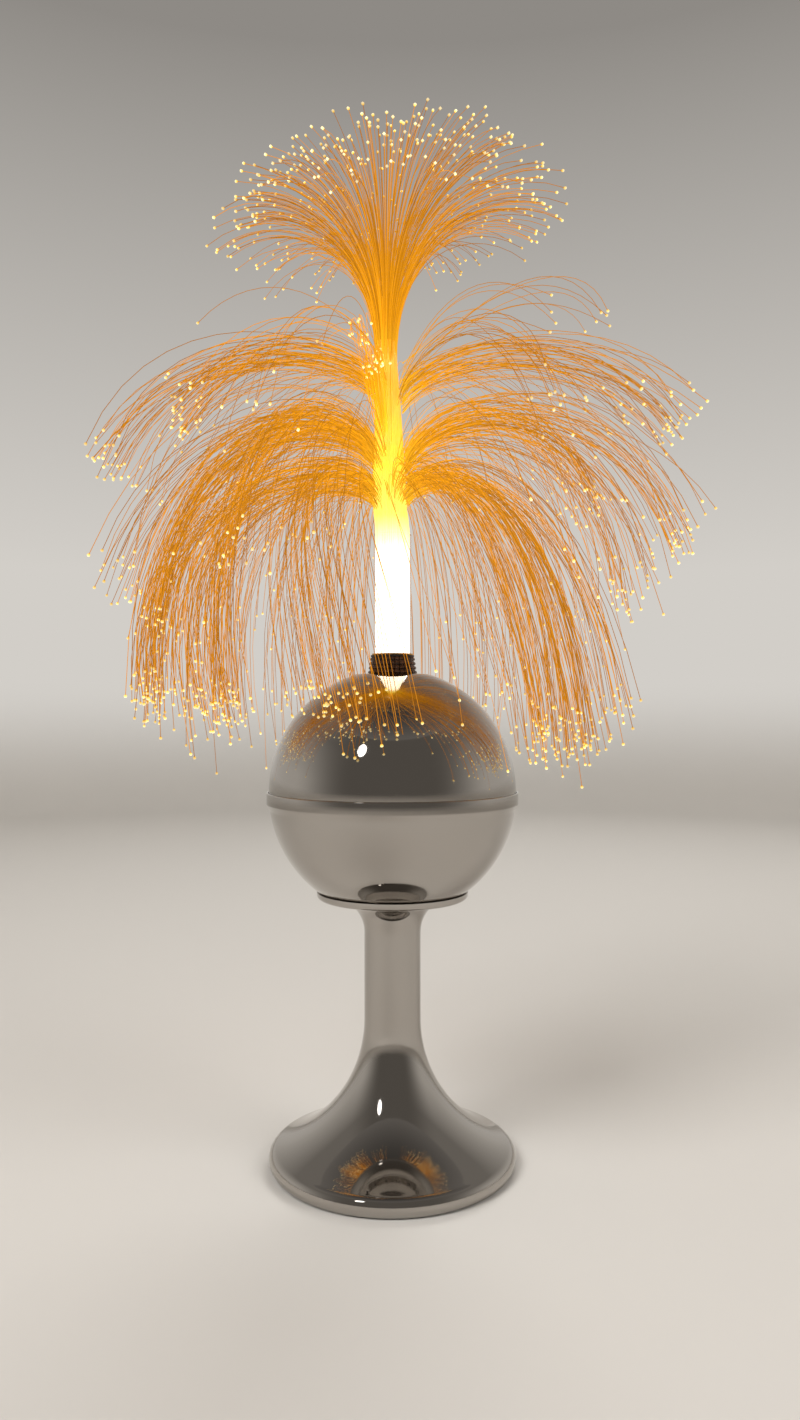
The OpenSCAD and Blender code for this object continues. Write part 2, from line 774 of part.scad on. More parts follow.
module bulb_cap() {
    color("#b9a15a") {
        translate([0, 0, cap_z]) cylinder(r = cap_r, h = cap_h);
        translate([-pin_out, 0, pin_z]) rotate([0, 90, 0]) cylinder(r = pin_r, h = 2 * pin_out, $fn = 32);
    }
}

module bulb_glass() {
    color("#fff2c0", 0.5) difference() {
        union() {
            translate([0, 0, bulb_z]) sphere(r = bulb_r);
            translate([0, 0, cap_top]) cylinder(r = glass_neck_r, h = bulb_z - cap_top);
        }
        translate([0, 0, bulb_z]) sphere(r = bulb_r - glass_t);
        translate([0, 0, cap_top - cut]) cylinder(r = glass_neck_r - glass_t, h = bulb_z - cap_top + cut);
        translate([-bulb_r, -bulb_r, cap_top - 2 * bulb_r]) cube(2 * bulb_r);
    }
}

// The filament on its two wires, which stand in the cap
module bulb_filament() {
    color("#fff6d8") {
        translate([-filament_l / 2, 0, bulb_z]) rotate([0, 90, 0])
            cylinder(r = filament_r, h = filament_l, $fn = 16);
        for (s = [-1, 1]) translate([s * filament_l / 2, 0, cap_top])
            cylinder(r = support_r, h = bulb_z - cap_top, $fn = 16);
    }
}

// ---------------------------------------------------------------- terminal block and leads

module terminal_block() {
    pitch = block_l / 3;
    color("#efe9dc") translate([block_x, 0, chassis_top]) difference() {
        translate([-block_w / 2, -block_l / 2, 0]) cube([block_w, block_l, block_h]);
        for (i = [-1:1]) translate([0, i * pitch, block_h / 2])
            cylinder(r = 2, h = block_h, $fn = 32);
        for (i = [-0.5, 0.5]) translate([-block_w / 2 - cut, i * pitch - 0.5, block_h * 0.7])
            cube([block_w + 2 * cut, 1, block_h]);
    }
}

// A lead that leaves the terminal block and ends against a face at end, both with a level stub
function lead_route(start, end) =
    let (a = start - [lead_stub, 0, 0], b = end + [lead_stub, 0, 0])
    concat(
        [start, start - [lead_stub / 2, 0, 0]],
        [for (i = [0:8]) bezier([a, a + [-lead_pull, 0, lead_up], b + [lead_pull, 0, lead_up], b], i / 8)],
        [end + [lead_stub / 2, 0, 0], end]
    );

// Two leads, one on each side of the lamp's middle plane, that end against a round wall of radius wall_r
// whose axis stands at x = wall_x
module leads(y, wall_x, wall_r, z) {
    block_face = block_x - block_w / 2;
    wall_face = wall_x + sqrt(wall_r ^ 2 - (y - lead_r) ^ 2);
    routes = [for (s = [-1, 1])
        lead_route([block_face, s * y, chassis_top + block_h / 2], [wall_face, s * y, chassis_top + z])];
    tubes(routes, [for (s = [-1, 1]) [0, 1, 0]], lead_r, lead_sides);
}

module lamp_leads() { color("#7a1f1a") leads(lamp_lead_y, 0, holder_r, lamp_lead_z); }
module motor_leads() { color("#20252b") leads(motor_lead_y, -wheel_offset, motor_r, motor_lead_z); }

// ---------------------------------------------------------------- neck

// The ribs stand on a cone, each a half round
module neck_collar() {
    pitch = neck_h / rib_count;
    slope = (neck_r - neck_top_r) / neck_h;
    side = [for (i = [0:rib_count - 1], k = [0:6]) let (z = pitch * (i + 0.1 + 0.8 * k / 6))
        [neck_r - rib_out - slope * z + rib_out * sin(180 * k / 6), flat_z + z]];
    color("#2a1d14") rotate_extrude() polygon(concat(
        [[collar_bore_r, flat_z - spigot_down], [spigot_r, flat_z - spigot_down], [spigot_r, flat_z]],
        [[neck_r - rib_out, flat_z]],
        side,
        [[neck_top_r - rib_out, neck_top], [collar_bore_r, neck_top]]
    ));
}

module neck_nut() {
    color("#2a1d14") translate([0, 0, flat_z - sheet_t - neck_nut_h]) difference() {
        cylinder(r = neck_nut_r, h = neck_nut_h);
        translate([0, 0, -cut]) cylinder(r = spigot_r + press_gap, h = neck_nut_h + 2 * cut);
        around(12, neck_nut_r + 0.6) translate([0, 0, -cut])
            cylinder(r = 1.6, h = neck_nut_h + 2 * cut, $fn = 24);
    }
}

module neck_liner() {
    color("#101012") {
        difference() {
            union() {
                translate([0, 0, liner_bottom]) cylinder(r = liner_r, h = neck_top - liner_bottom);
                translate([0, 0, neck_top]) cylinder(r = liner_flange_r, h = liner_flange_t);
            }
            translate([0, 0, liner_bottom - cut])
                cylinder(r = liner_bore_r, h = liner_top - liner_bottom + 2 * cut);
        }
    }
}

// ---------------------------------------------------------------- spray

module ferrule() {
    color("#c8a050") difference() {
        union() {
            translate([0, 0, ferrule_bottom]) cylinder(r = ferrule_r, h = ferrule_top - ferrule_bottom);
            translate([0, 0, liner_top]) cylinder(r = ferrule_flange_r, h = ferrule_flange_t);
        }
        translate([0, 0, ferrule_bottom - cut])
            cylinder(r = ferrule_in_r, h = ferrule_top - ferrule_bottom + 2 * cut);
    }
}

// The bound fibres, which thin out by one ring at each tier
module bundle_core() {
    tops = [lower_z, middle_z, upper_z, crown_z];
    radii = [bundle_r, middle_ring_r - press_gap, upper_ring_r - press_gap, crown_ring_r - press_gap];
    color("#fff3c4") union() {
        for (i = [0:3])
            translate([0, 0, ferrule_bottom]) cylinder(r = radii[i], h = tops[i] - ferrule_bottom);
    }
}

module bundle_sleeve() {
    in_r = bundle_r + press_gap;
    color("#fff8e0", 0.4) translate([0, 0, ferrule_top]) pipe(in_r + sleeve_t, in_r, sleeve_h);
}

// How much of its tier's spread fibre j has, from 0 to 1: the wave round the lamp and its own scatter
function share(j, turn, row) =
    0.5 + wave_part * cos(wave_count * tier_turn * j + turn)
    + scatter_part * (2 * scatter[j + row * tier_fibres] - 1);

// Upright plane of fibre j, whose tier is turned by a third of the step between two fibres for each row
function plane_a(j, row) = tier_turn * (j + row / 3);

// Route of fibre j of a tier: up out of its ring, over, and down to its tip
function droop(j, row, ring_r, z, reach, over, drop, least) =
    let (
        a = plane_a(j, row),
        out = reach * (least_reach + (1 - least_reach) * share(j, 0, 2 * row)),
        down = drop * (least + (1 - least) * share(j, drop_wave_a + drop_wave_step_a * row, 2 * row + 1)),
        up = over * (0.8 + 0.4 * scatter[j]),
        root = [ring_r - ring_w / 2, z + root_up],
        curve = [root, root + [0.12 * out, 2 * up], root + [0.74 * out, 1.5 * up], [out, z - down]]
    )
    [for (i = [0:tier_steps]) let (p = bezier(curve, i / tier_steps)) [p[0] * cos(a), p[0] * sin(a), p[1]]];

// Tuft k of a tier that is made of count tufts: its fibres and the slice of ring that they are rooted in
module tuft(k, count, row, ring_r, z, reach, over, drop, least) {
    each_n = tier_fibres / count;
    list = [for (j = [k * each_n:(k + 1) * each_n - 1]) j];
    routes = [for (j = list) droop(j, row, ring_r, z, reach, over, drop, least)];
    sideways = [for (j = list) [-sin(plane_a(j, row)), cos(plane_a(j, row)), 0]];
    color("#e08a10") union() {
        translate([0, 0, z]) pipe_sector(
            ring_r, ring_r - ring_w, slice_h,
            plane_a(list[0] - 0.5, row), plane_a(list[0] - 0.5, row) + 360 / count
        );
        tubes(routes, sideways, fibre_d / 2, strand_sides);
    }
}

module lower_tuft(k) {
    tuft(k, 6, 0, lower_ring_r, lower_z, lower_reach, lower_over, lower_drop, lower_least);
}

module middle_tuft(k) {
    tuft(k, 4, 1, middle_ring_r, middle_z, middle_reach, middle_over, middle_drop, middle_least);
}

module upper_tuft(k) {
    tuft(k, 4, 2, upper_ring_r, upper_z, upper_reach, upper_over, upper_drop, upper_least);
}

// The crown's fibres are spaced like the seeds of a sunflower. Each bends evenly, the outer ones further.
module crown_tuft() {
    golden = 137.508;
    root_max = crown_ring_r - fibre_d;
    list = [for (j = [0:crown_fibres - 1]) j];
    routes = [for (j = list) let (
        u = sqrt((j + 0.5) / crown_fibres),
        a = golden * j,
        bend = crown_bend_a * u,
        length = crown_length * (0.84 + 0.16 * scatter[6 * tier_fibres + j]),
        bow = length * 180 / (PI * bend)
    )
        [for (i = [0:crown_steps]) let (
            turn = bend * i / crown_steps,
            out = root_max * u + bow * (1 - cos(turn))
        ) [out * cos(a), out * sin(a), crown_z + root_up + bow * sin(turn)]]];
    sideways = [for (j = list) [-sin(golden * j), cos(golden * j), 0]];
    color("#ffb020") union() {
        translate([0, 0, crown_z]) cylinder(r = crown_ring_r, h = slice_h);
        tubes(routes, sideways, fibre_d / 2, strand_sides);
    }
}

// ---------------------------------------------------------------- assembly

felt_pad();
base_plate();
ballast_disc();
pedestal_shell();
cord_grommet();
tie_rod();
rod_nuts();
rod_washers();
saucer();
lower_bowl();
chassis_posts();
chassis_plate();
chassis_screws();
transformer_core();
transformer_coil();
transformer_clamp();
transformer_screws();
motor_body();
motor_screws();
lamp_holder();
holder_contact();
holder_screws();
reflector();
terminal_block();
lamp_leads();
motor_leads();
bulb_glass();
bulb_cap();
bulb_filament();
upper_dome();
neck_collar();
neck_nut();
neck_liner();
ferrule();
bundle_core();
bundle_sleeve();
lower_tuft(0);  // lower_tuft_1
lower_tuft(1);  // lower_tuft_2
lower_tuft(2);  // lower_tuft_3
lower_tuft(3);  // lower_tuft_4
lower_tuft(4);  // lower_tuft_5
lower_tuft(5);  // lower_tuft_6
middle_tuft(0);  // middle_tuft_1
middle_tuft(1);  // middle_tuft_2
middle_tuft(2);  // middle_tuft_3
middle_tuft(3);  // middle_tuft_4
upper_tuft(0);  // upper_tuft_1
upper_tuft(1);  // upper_tuft_2
upper_tuft(2);  // upper_tuft_3
upper_tuft(3);  // upper_tuft_4
crown_tuft();
motor_shaft();
wheel_hub();
wheel_frame();
wheel_nut();
filter_amber();
filter_red();
filter_green();
filter_blue();
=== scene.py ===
"""Fibre optic lamp: a chrome ball on a trumpet foot, with a spray of lit fibres in its neck.

Laid out as an add-on: one operator for each group of pieces, one for the stage, and a panel that lists them.
Lengths in the property groups are in metres. The lamp's axis is the Z axis, and its front looks towards -Y.
"""

import json
import math
import random
from typing import NamedTuple

import bmesh
import bpy
from bpy.props import FloatProperty, FloatVectorProperty, IntProperty, PointerProperty
from mathutils import Matrix, Vector


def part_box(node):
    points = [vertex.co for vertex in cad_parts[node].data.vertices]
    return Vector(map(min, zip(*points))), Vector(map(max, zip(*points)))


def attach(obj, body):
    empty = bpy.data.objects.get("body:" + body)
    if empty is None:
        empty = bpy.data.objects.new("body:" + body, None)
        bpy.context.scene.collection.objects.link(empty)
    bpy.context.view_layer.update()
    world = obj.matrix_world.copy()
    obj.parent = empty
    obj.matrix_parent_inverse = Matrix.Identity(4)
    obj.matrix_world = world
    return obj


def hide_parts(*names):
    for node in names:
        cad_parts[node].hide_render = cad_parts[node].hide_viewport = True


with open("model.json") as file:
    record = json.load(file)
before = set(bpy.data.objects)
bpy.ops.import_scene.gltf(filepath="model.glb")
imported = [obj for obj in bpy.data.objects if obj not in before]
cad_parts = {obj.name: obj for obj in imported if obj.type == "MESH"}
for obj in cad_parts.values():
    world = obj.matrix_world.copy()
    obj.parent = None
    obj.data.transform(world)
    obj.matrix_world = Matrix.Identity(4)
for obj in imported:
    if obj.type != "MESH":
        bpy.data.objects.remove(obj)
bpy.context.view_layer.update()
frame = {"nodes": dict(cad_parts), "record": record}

bl_info = {
    "name": "Fibre Optic Lamp",
    "version": (1, 0, 0),
    "blender": (4, 5, 0),
    "location": "View3D > Sidebar > Fibre Lamp",
    "description": "Builds a chrome fountain lamp with a spray of lit fibres",
    "category": "Object",
}

MM = 0.001
TURN = 2 * math.pi
# Gap in metres between the waves of a wave texture whose scale is 1, to within 2%
WAVE_GAP = 0.31831
# Sockets of a colour mix node: its two colours, and the output for their mix
MIX_A, MIX_B, MIX_OUT = 6, 7, 2


# -------------------- sizes read off the frame


def radius_of(name):
    """Half the width of a round node that stands on the lamp's axis."""
    low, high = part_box(name)
    return (high[0] - low[0]) / 2


def foot_of(name):
    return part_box(name)[0][2]


def top_of(name):
    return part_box(name)[1][2]


# -------------------- properties


def linear(code):
    """A colour written as sRGB hex, turned to linear with alpha 1."""
    parts = [int(code[i : i + 2], 16) / 255 for i in (1, 3, 5)]
    return tuple(c / 12.92 if c <= 0.04045 else ((c + 0.055) / 1.055) ** 2.4 for c in parts) + (1.0,)


def length_prop(name, text, millimetres):
    return FloatProperty(
        name=name, description=text, default=millimetres * MM, min=0, unit="LENGTH", precision=5
    )


def count_prop(name, text, value, low=1):
    return IntProperty(name=name, description=text, default=value, min=low)


def colour_prop(name, text, code):
    return FloatVectorProperty(
        name=name, description=text, subtype="COLOR", size=3, min=0, max=1, default=linear(code)[:3]
    )


class LampShellSettings(bpy.types.PropertyGroup):
    """The spun chrome pieces and the neck."""

    sheet: length_prop("Sheet", "Thickness of the spun sheet", 1.2)
    foot_edge: length_prop("Foot edge", "Radius of the foot's rounded edge", 7.8)
    foot_lip: length_prop("Foot lip", "Height of the foot's lower lip over the table", 1.0)
    stem: length_prop("Stem", "Radius of the stem", 19.5)
    sweep_top: length_prop("Sweep top", "Height at which the stem starts to sweep out", 100)
    flare: length_prop("Flare", "Radius of the flare at the top of the stem", 25)
    dome_flat: length_prop("Dome flat", "Radius of the flat on top of the dome", 25.5)
    turns: count_prop("Facets round", "Facets of a spun piece round its axis", 224, 24)
    ribs: count_prop("Neck ribs", "Ribs round the neck collar", 4)
    knurls: count_prop("Neck knurls", "Upright grooves round the neck collar", 30)


class LampSpraySettings(bpy.types.PropertyGroup):
    """The fibres of the spray."""

    fibre: length_prop("Fibre", "Thickness of a fibre", 0.42)
    bead: length_prop("Bead", "Thickness of the melted bead at a fibre's tip", 2.1)
    crown: count_prop("Crown", "Fibres in the crown", 470)
    crown_length: length_prop("Crown length", "Length of the crown's fibres", 178)
    crown_bend: FloatProperty(
        name="Crown bend", description="Angle through which the outermost fibres of the crown turn over",
        default=math.radians(128), subtype="ANGLE"
    )
    fullness: FloatProperty(
        name="Fullness", description="Share of the full number of fibres in the tiers",
        default=1.0, min=0.1, max=1.5
    )
    seed: count_prop("Seed", "Start of the chance spread of the fibres", 11, 0)


class LampStageSettings(bpy.types.PropertyGroup):
    """Camera, floor and lights."""

    away: length_prop("Camera distance", "Distance from the camera to the lamp's axis", 719)
    height: length_prop("Camera height", "Height of the camera over the floor", 316)
    aside: length_prop("Camera aside", "How far the camera stands to the right of the lamp's axis", 5.2)
    lens: FloatProperty(
        name="Lens", description="Focal length on a 36 mm sensor", default=26.37, unit="CAMERA"
    )
    dip: FloatProperty(
        name="Dip", description="Angle by which the camera looks down",
        default=math.radians(0.28), subtype="ANGLE"
    )
    floor: colour_prop("Floor", "Colour of the floor and of the backdrop's foot", "#D2CEC8")
    # The high and front backdrop colours are painted shade: deeper tones that the backdrop's glow takes high
    # up and behind the camera
    high: colour_prop("High backdrop", "Colour of the backdrop high up", "#8E8A85")
    front: colour_prop("Front backdrop", "Colour of the backdrop behind the camera", "#6E6A65")


# -------------------- helpers: materials


def node(owner, kind, settings=None, links=None, stops=()):
    """Adds a shader node to a material or world. settings sets its properties and sockets, links wires its
    sockets from other nodes' outputs, and stops are the (place, colour) stops of a colour ramp."""
    made = owner.node_tree.nodes.new("ShaderNode" + kind)
    for key, value in (settings or {}).items():
        if isinstance(key, str) and key in made.bl_rna.properties:
            setattr(made, key, value)
        else:
            made.inputs[key].default_value = value
    for key, source in (links or {}).items():
        owner.node_tree.links.new(source, made.inputs[key])
    if stops:
        band = made.color_ramp.elements
        while len(band) < len(stops):
            band.new(0.5)
        for element, (place, colour) in zip(band, stops):
            element.position = place
            element.color = linear(colour)
    return made


def start_material(name):
    mat = bpy.data.materials.new(name)
    mat.use_nodes = True
    mat.node_tree.nodes.clear()
    return mat


def surface(mat, settings, links):
    """Ends a material with its Principled shader."""
    shader = node(mat, "BsdfPrincipled", settings, links)
    node(mat, "OutputMaterial", None, {"Surface": shader.outputs["BSDF"]})
    return mat


def speckle(mat, size, detail=3.0, stretch=(1, 1, 1)):
    """Noise on Object coordinates whose blotches are about size metres across."""
    place = node(mat, "TexCoord").outputs["Object"]
    spread = node(mat, "Mapping", {"Scale": tuple(s / size for s in stretch)}, {"Vector": place})
    noise = node(mat, "TexNoise", {"Scale": 1.0, "Detail": detail}, {"Vector": spread.outputs["Vector"]})
    return noise.outputs["Fac"]


def stripes(mat, across, gap, waver):
    """Waves on Object coordinates that stand gap metres apart along one axis."""
    place = node(mat, "TexCoord").outputs["Object"]
    settings = {"bands_direction": across, "Scale": WAVE_GAP / gap, "Distortion": waver}
    return node(mat, "TexWave", settings, {"Vector": place}).outputs["Fac"]


def grain(mat, pattern, dark, light, strength, depth):
    """Links for a skin whose tone and relief both follow a pattern. dark and light are (value, colour), and
    depth is in metres."""
    tone = node(mat, "ValToRGB", None, {"Fac": pattern}, [dark, light])
    bump = node(mat, "Bump", {"Strength": strength, "Distance": depth}, {"Height": pattern})
    return {"Base Color": tone.outputs["Color"], "Normal": bump.outputs["Normal"]}


# -------------------- helpers: shapes


def arc(centre, radius, first, last, steps):
    """Points (radius, height) along an arc, its angles in degrees."""
    turns = [math.radians(first + (last - first) * i / steps) for i in range(steps + 1)]
    return [(centre[0] + radius * math.cos(a), centre[1] + radius * math.sin(a)) for a in turns]


def ramp(value, first, length):
    """Share of a stretch that value has covered, from 0 to 1."""
    return max(0.0, min(1.0, (value - first) / length))


def cubic(pulls, t):
    """Point at t on a cubic curve with four control points."""
    a, b, c, d = (Vector(p) for p in pulls)
    return a * (1 - t) ** 3 + 3 * b * t * (1 - t) ** 2 + 3 * c * t * t * (1 - t) + d * t**3


def beside(line, gap):
    """A flat line moved sideways by gap, to the right of the way it runs."""
    moved = []
    for i, (r, z) in enumerate(line):
        ahead, behind = line[min(i + 1, len(line) - 1)], line[max(i - 1, 0)]
        way = Vector((ahead[0] - behind[0], ahead[1] - behind[1])).normalized()
        moved.append((r + gap * way.y, z - gap * way.x))
    return moved


def spun(outline, turns, closed=True):
    """An outline of (radius, height) points turned once round the lamp's axis."""
    bm = bmesh.new()
    points = [bm.verts.new((r, 0, z)) for r, z in outline]
    ring = points + points[:1] if closed else points
    edges = [bm.edges.new(pair) for pair in zip(ring, ring[1:])]
    bmesh.ops.spin(bm, geom=points + edges, axis=(0, 0, 1), angle=TURN, steps=turns, use_merge=True)
    bmesh.ops.remove_doubles(bm, verts=bm.verts, dist=1e-7)
    bmesh.ops.recalc_face_normals(bm, faces=bm.faces)
    return bm


def mesh_of(name, bm):
    mesh = bpy.data.meshes.new(name)
    bm.to_mesh(mesh)
    bm.free()
    return mesh


def add_object(name, data):
    made = bpy.data.objects.new(name, data)
    bpy.context.scene.collection.objects.link(made)
    return made


def add_piece(name, bm, body, slot, *nodes, crease=30):
    """A bmesh made into a piece that rides on a body, has a slot's finish and stands for CAD nodes."""
    mesh = mesh_of(name, bm)
    mesh.materials.append(finish(slot))
    mesh.shade_smooth()
    mesh.set_sharp_from_angle(angle=math.radians(crease))
    piece = add_object(name, mesh)
    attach(piece, body)
    if nodes:
        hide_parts(*nodes)
    return piece


def drill(piece, holes):
    """Cuts round holes out of a piece. A hole is (centre, direction, radius, length)."""
    bm = bmesh.new()
    for centre, way, radius, length in holes:
        place = Matrix.Translation(centre) @ Vector(way).to_track_quat("Z", "Y").to_matrix().to_4x4()
        bmesh.ops.create_cone(
            bm, cap_ends=True, segments=32, radius1=radius, radius2=radius, depth=length, matrix=place
        )
    bit = add_object("drill_bit", mesh_of("drill_bit", bm))
    cutter = piece.modifiers.new("holes", "BOOLEAN")
    cutter.object = bit
    cutter.operation = "DIFFERENCE"
    cutter.solver = "EXACT"
    seen = piece.evaluated_get(bpy.context.evaluated_depsgraph_get())
    piece.data = bpy.data.meshes.new_from_object(seen)
    piece.modifiers.clear()
    bpy.data.objects.remove(bit)


def soften(piece, width):
    """Rounds a piece's sharp edges over, as polishing does."""
    bevel = piece.modifiers.new("soft_edges", "BEVEL")
    bevel.width = width
    bevel.segments = 2
    bevel.limit_method = "ANGLE"
    bevel.angle_limit = math.radians(40)
    bevel.harden_normals = True


# -------------------- materials: metals


def chrome_plate():
    """Bright chromium plate over polished spun sheet: a deep mirror, a little dulled by handling, with faint
    lathe lines that draw the reflections out. The real lines are under 0.1 mm apart, and here 1.4 mm."""
    mat = start_material("chrome_plate")
    smudge = speckle(mat, 0.03, 4)
    rough = node(
        mat, "MapRange",
        {"From Min": 0.4, "From Max": 0.75, "To Min": 0.035, "To Max": 0.10}, {"Value": smudge}
    )
    lines = speckle(mat, 0.0014, 1, (0.01, 0.01, 1))
    bump = node(mat, "Bump", {"Strength": 0.012, "Distance": 0.0002}, {"Height": lines})
    links = {"Roughness": rough.outputs["Result"], "Normal": bump.outputs["Normal"]}
    return surface(mat, {"Base Color": linear("#B0ABA5"), "Metallic": 1.0}, links)


def plated_metal(name, light, dark, rough, size, metallic=1.0, depth=0.05):
    """A metal, or enamel on metal, whose tone and gloss drift over blotches about size metres across."""
    mat = start_material(name)
    drift = speckle(mat, size, 5)
    gloss = node(mat, "MapRange", {"To Min": rough * 0.75, "To Max": rough * 1.3}, {"Value": drift})
    links = grain(mat, drift, (0.3, dark), (0.7, light), depth, size / 4)
    return surface(mat, {"Metallic": metallic}, {**links, "Roughness": gloss.outputs["Result"]})


def core_steel():
    """Silicon steel laminations, varnished: dark edges of 0.5 mm sheets in a stack, drawn 2 mm apart."""
    mat = start_material("core_steel")
    links = grain(mat, stripes(mat, "Y", 2 * MM, 0.4), (0.1, "#262524"), (0.6, "#5C5A56"), 0.4, 0.0002)
    return surface(mat, {"Metallic": 0.7, "Roughness": 0.45}, links)


def copper_winding():
    """Enamelled copper wire wound in layers: warm brown turns of 0.6 mm wire, drawn 1.2 mm apart, with a
    varnish gloss. The dark between the turns, where the bump sinks, is painted shade in the grooves."""
    mat = start_material("copper_winding")
    # The dark stop is painted shade in the grooves between turns; the light stop is the copper's own brown
    links = grain(mat, stripes(mat, "Z", 1.2 * MM, 0.6), (0.1, "#4A220C"), (0.7, "#B5611F"), 0.6, 0.0003)
    return surface(mat, {"Metallic": 0.4, "Roughness": 0.35}, links)


# -------------------- materials: cloth, plastics, glass


def felt_cloth():
    """Pressed wool felt: no gloss, a soft bloom at grazing angles, and tufts of matted hair 0.8 mm across,
    coarser than the real ones."""
    mat = start_material("felt_cloth")
    links = grain(mat, speckle(mat, 0.0008, 6), (0.3, "#141C17"), (0.7, "#2C3B31"), 0.5, 0.0004)
    return surface(mat, {"Roughness": 0.95, "Sheen Weight": 0.4, "Sheen Roughness": 0.5}, links)


def moulding(name, light, dark, rough, size, depth=0.15, coat=0.0):
    """A moulded or glazed skin: nearly even colour, and a fine texture about size metres across."""
    mat = start_material(name)
    links = grain(mat, speckle(mat, size, 3), (0.3, dark), (0.7, light), depth, size / 5)
    return surface(mat, {"Roughness": rough, "Coat Weight": coat}, links)


def clear_skin(name, tone, ior, rough, size):
    """A clear material with faint waves about size metres across in its surface."""
    mat = start_material(name)
    waves = speckle(mat, size, 2)
    bump = node(mat, "Bump", {"Strength": 0.05, "Distance": size / 10}, {"Height": waves})
    settings = {"Base Color": linear(tone), "IOR": ior, "Roughness": rough, "Transmission Weight": 1.0}
    return surface(mat, settings, {"Normal": bump.outputs["Normal"]})


# -------------------- materials: the lit fibres


def hot_filament():
    """Tungsten wire run bright: a warm glow that drifts a little between cream and yellow white."""
    mat = start_material("tungsten_filament")
    drift = speckle(mat, 0.002, 2)
    glow = node(mat, "ValToRGB", None, {"Fac": drift}, [(0.3, "#FFE3A8"), (0.7, "#FFF6DC")])
    links = {"Emission Color": glow.outputs["Color"]}
    return surface(mat, {"Base Color": linear("#6B6660"), "Roughness": 0.5, "Emission Strength": 1.2}, links)


def lit_bundle():
    """Hundreds of acrylic fibres side by side, lit from below: white where the light is fresh, then yellow,
    then orange higher up, with the gaps between the fibres a shade deeper."""
    mat = start_material("lit_bundle")
    place = node(mat, "TexCoord").outputs["Object"]
    height = node(mat, "SeparateXYZ", None, {"Vector": place}).outputs["Z"]
    along = node(
        mat, "MapRange",
        {"From Min": top_of("neck_liner"), "From Max": top_of("bundle_core")}, {"Value": height}
    )
    glow = node(mat, "ValToRGB", None, {"Fac": along.outputs["Result"]}, [
        (0.0, "#FFFCEB"), (0.34, "#FFFADC"), (0.46, "#FFEE6A"), (0.62, "#FFD61E"), (0.8, "#FFB010"),
        (1.0, "#F08A0C"),
    ])
    strands = speckle(mat, 0.0011, 1, (1, 1, 0.03))
    gaps = node(
        mat, "MapRange", {"From Min": 0.3, "From Max": 0.6, "To Min": 0.72, "To Max": 1.0}, {"Value": strands}
    )
    # The foot of the trunk is brighter than white, so that the dome still mirrors it as yellow white
    fresh = node(
        mat, "MapRange",
        {"interpolation_type": "SMOOTHSTEP", "From Min": 0.2, "From Max": 0.5, "To Min": 2.6, "To Max": 1.0},
        {"Value": along.outputs["Result"]}
    )
    power = node(
        mat, "Math", {"operation": "MULTIPLY"}, {0: gaps.outputs["Result"], 1: fresh.outputs["Result"]}
    )
    lit = node(
        mat, "VectorMath", {"operation": "SCALE"},
        {"Vector": glow.outputs["Color"], "Scale": power.outputs[0]}
    )
    bump = node(mat, "Bump", {"Strength": 0.4, "Distance": 0.0005}, {"Height": strands})
    links = {"Emission Color": lit.outputs["Vector"], "Normal": bump.outputs["Normal"]}
    settings = {"Base Color": linear("#E8B860"), "Roughness": 0.3, "Emission Strength": 1.0}
    return surface(mat, settings, links)


def lit_fibre():
    """An acrylic fibre that carries warm light: it glows where it leaves the bundle, shines amber along its
    length and ends in a bright melted bead. Fibres differ in how much light they catch."""
    mat = start_material("lit_fibre")
    along = node(mat, "UVMap", {"uv_map": "strand"}).outputs["UV"]
    length = node(mat, "SeparateXYZ", None, {"Vector": along}).outputs["Y"]
    glow = node(mat, "ValToRGB", None, {"Fac": length}, [
        (0.0, "#FFBE22"), (0.14, "#F0A010"), (0.45, "#D2880C"), (0.85, "#C87E0A"), (0.89, "#FFD050"),
        (1.0, "#FFF4C4"),
    ])
    # A fibre's share of light dims its length, but its bead stays bright
    share = node(mat, "Attribute", {"attribute_name": "share"}).outputs["Fac"]
    bead = node(mat, "MapRange", {"From Min": 0.85, "From Max": 0.89, "To Max": 0.4}, {"Value": length})
    even = node(mat, "Math", {"operation": "ADD"}, {0: share, 1: bead.outputs["Result"]})
    lit = node(
        mat, "VectorMath", {"operation": "SCALE"}, {"Vector": glow.outputs["Color"], "Scale": even.outputs[0]}
    )
    links = {"Emission Color": lit.outputs["Vector"]}
    settings = {
        "Base Color": linear("#6E3F08"), "Roughness": 0.3, "Specular IOR Level": 0.3,
        "Emission Strength": 0.85
    }
    return surface(mat, settings, links)


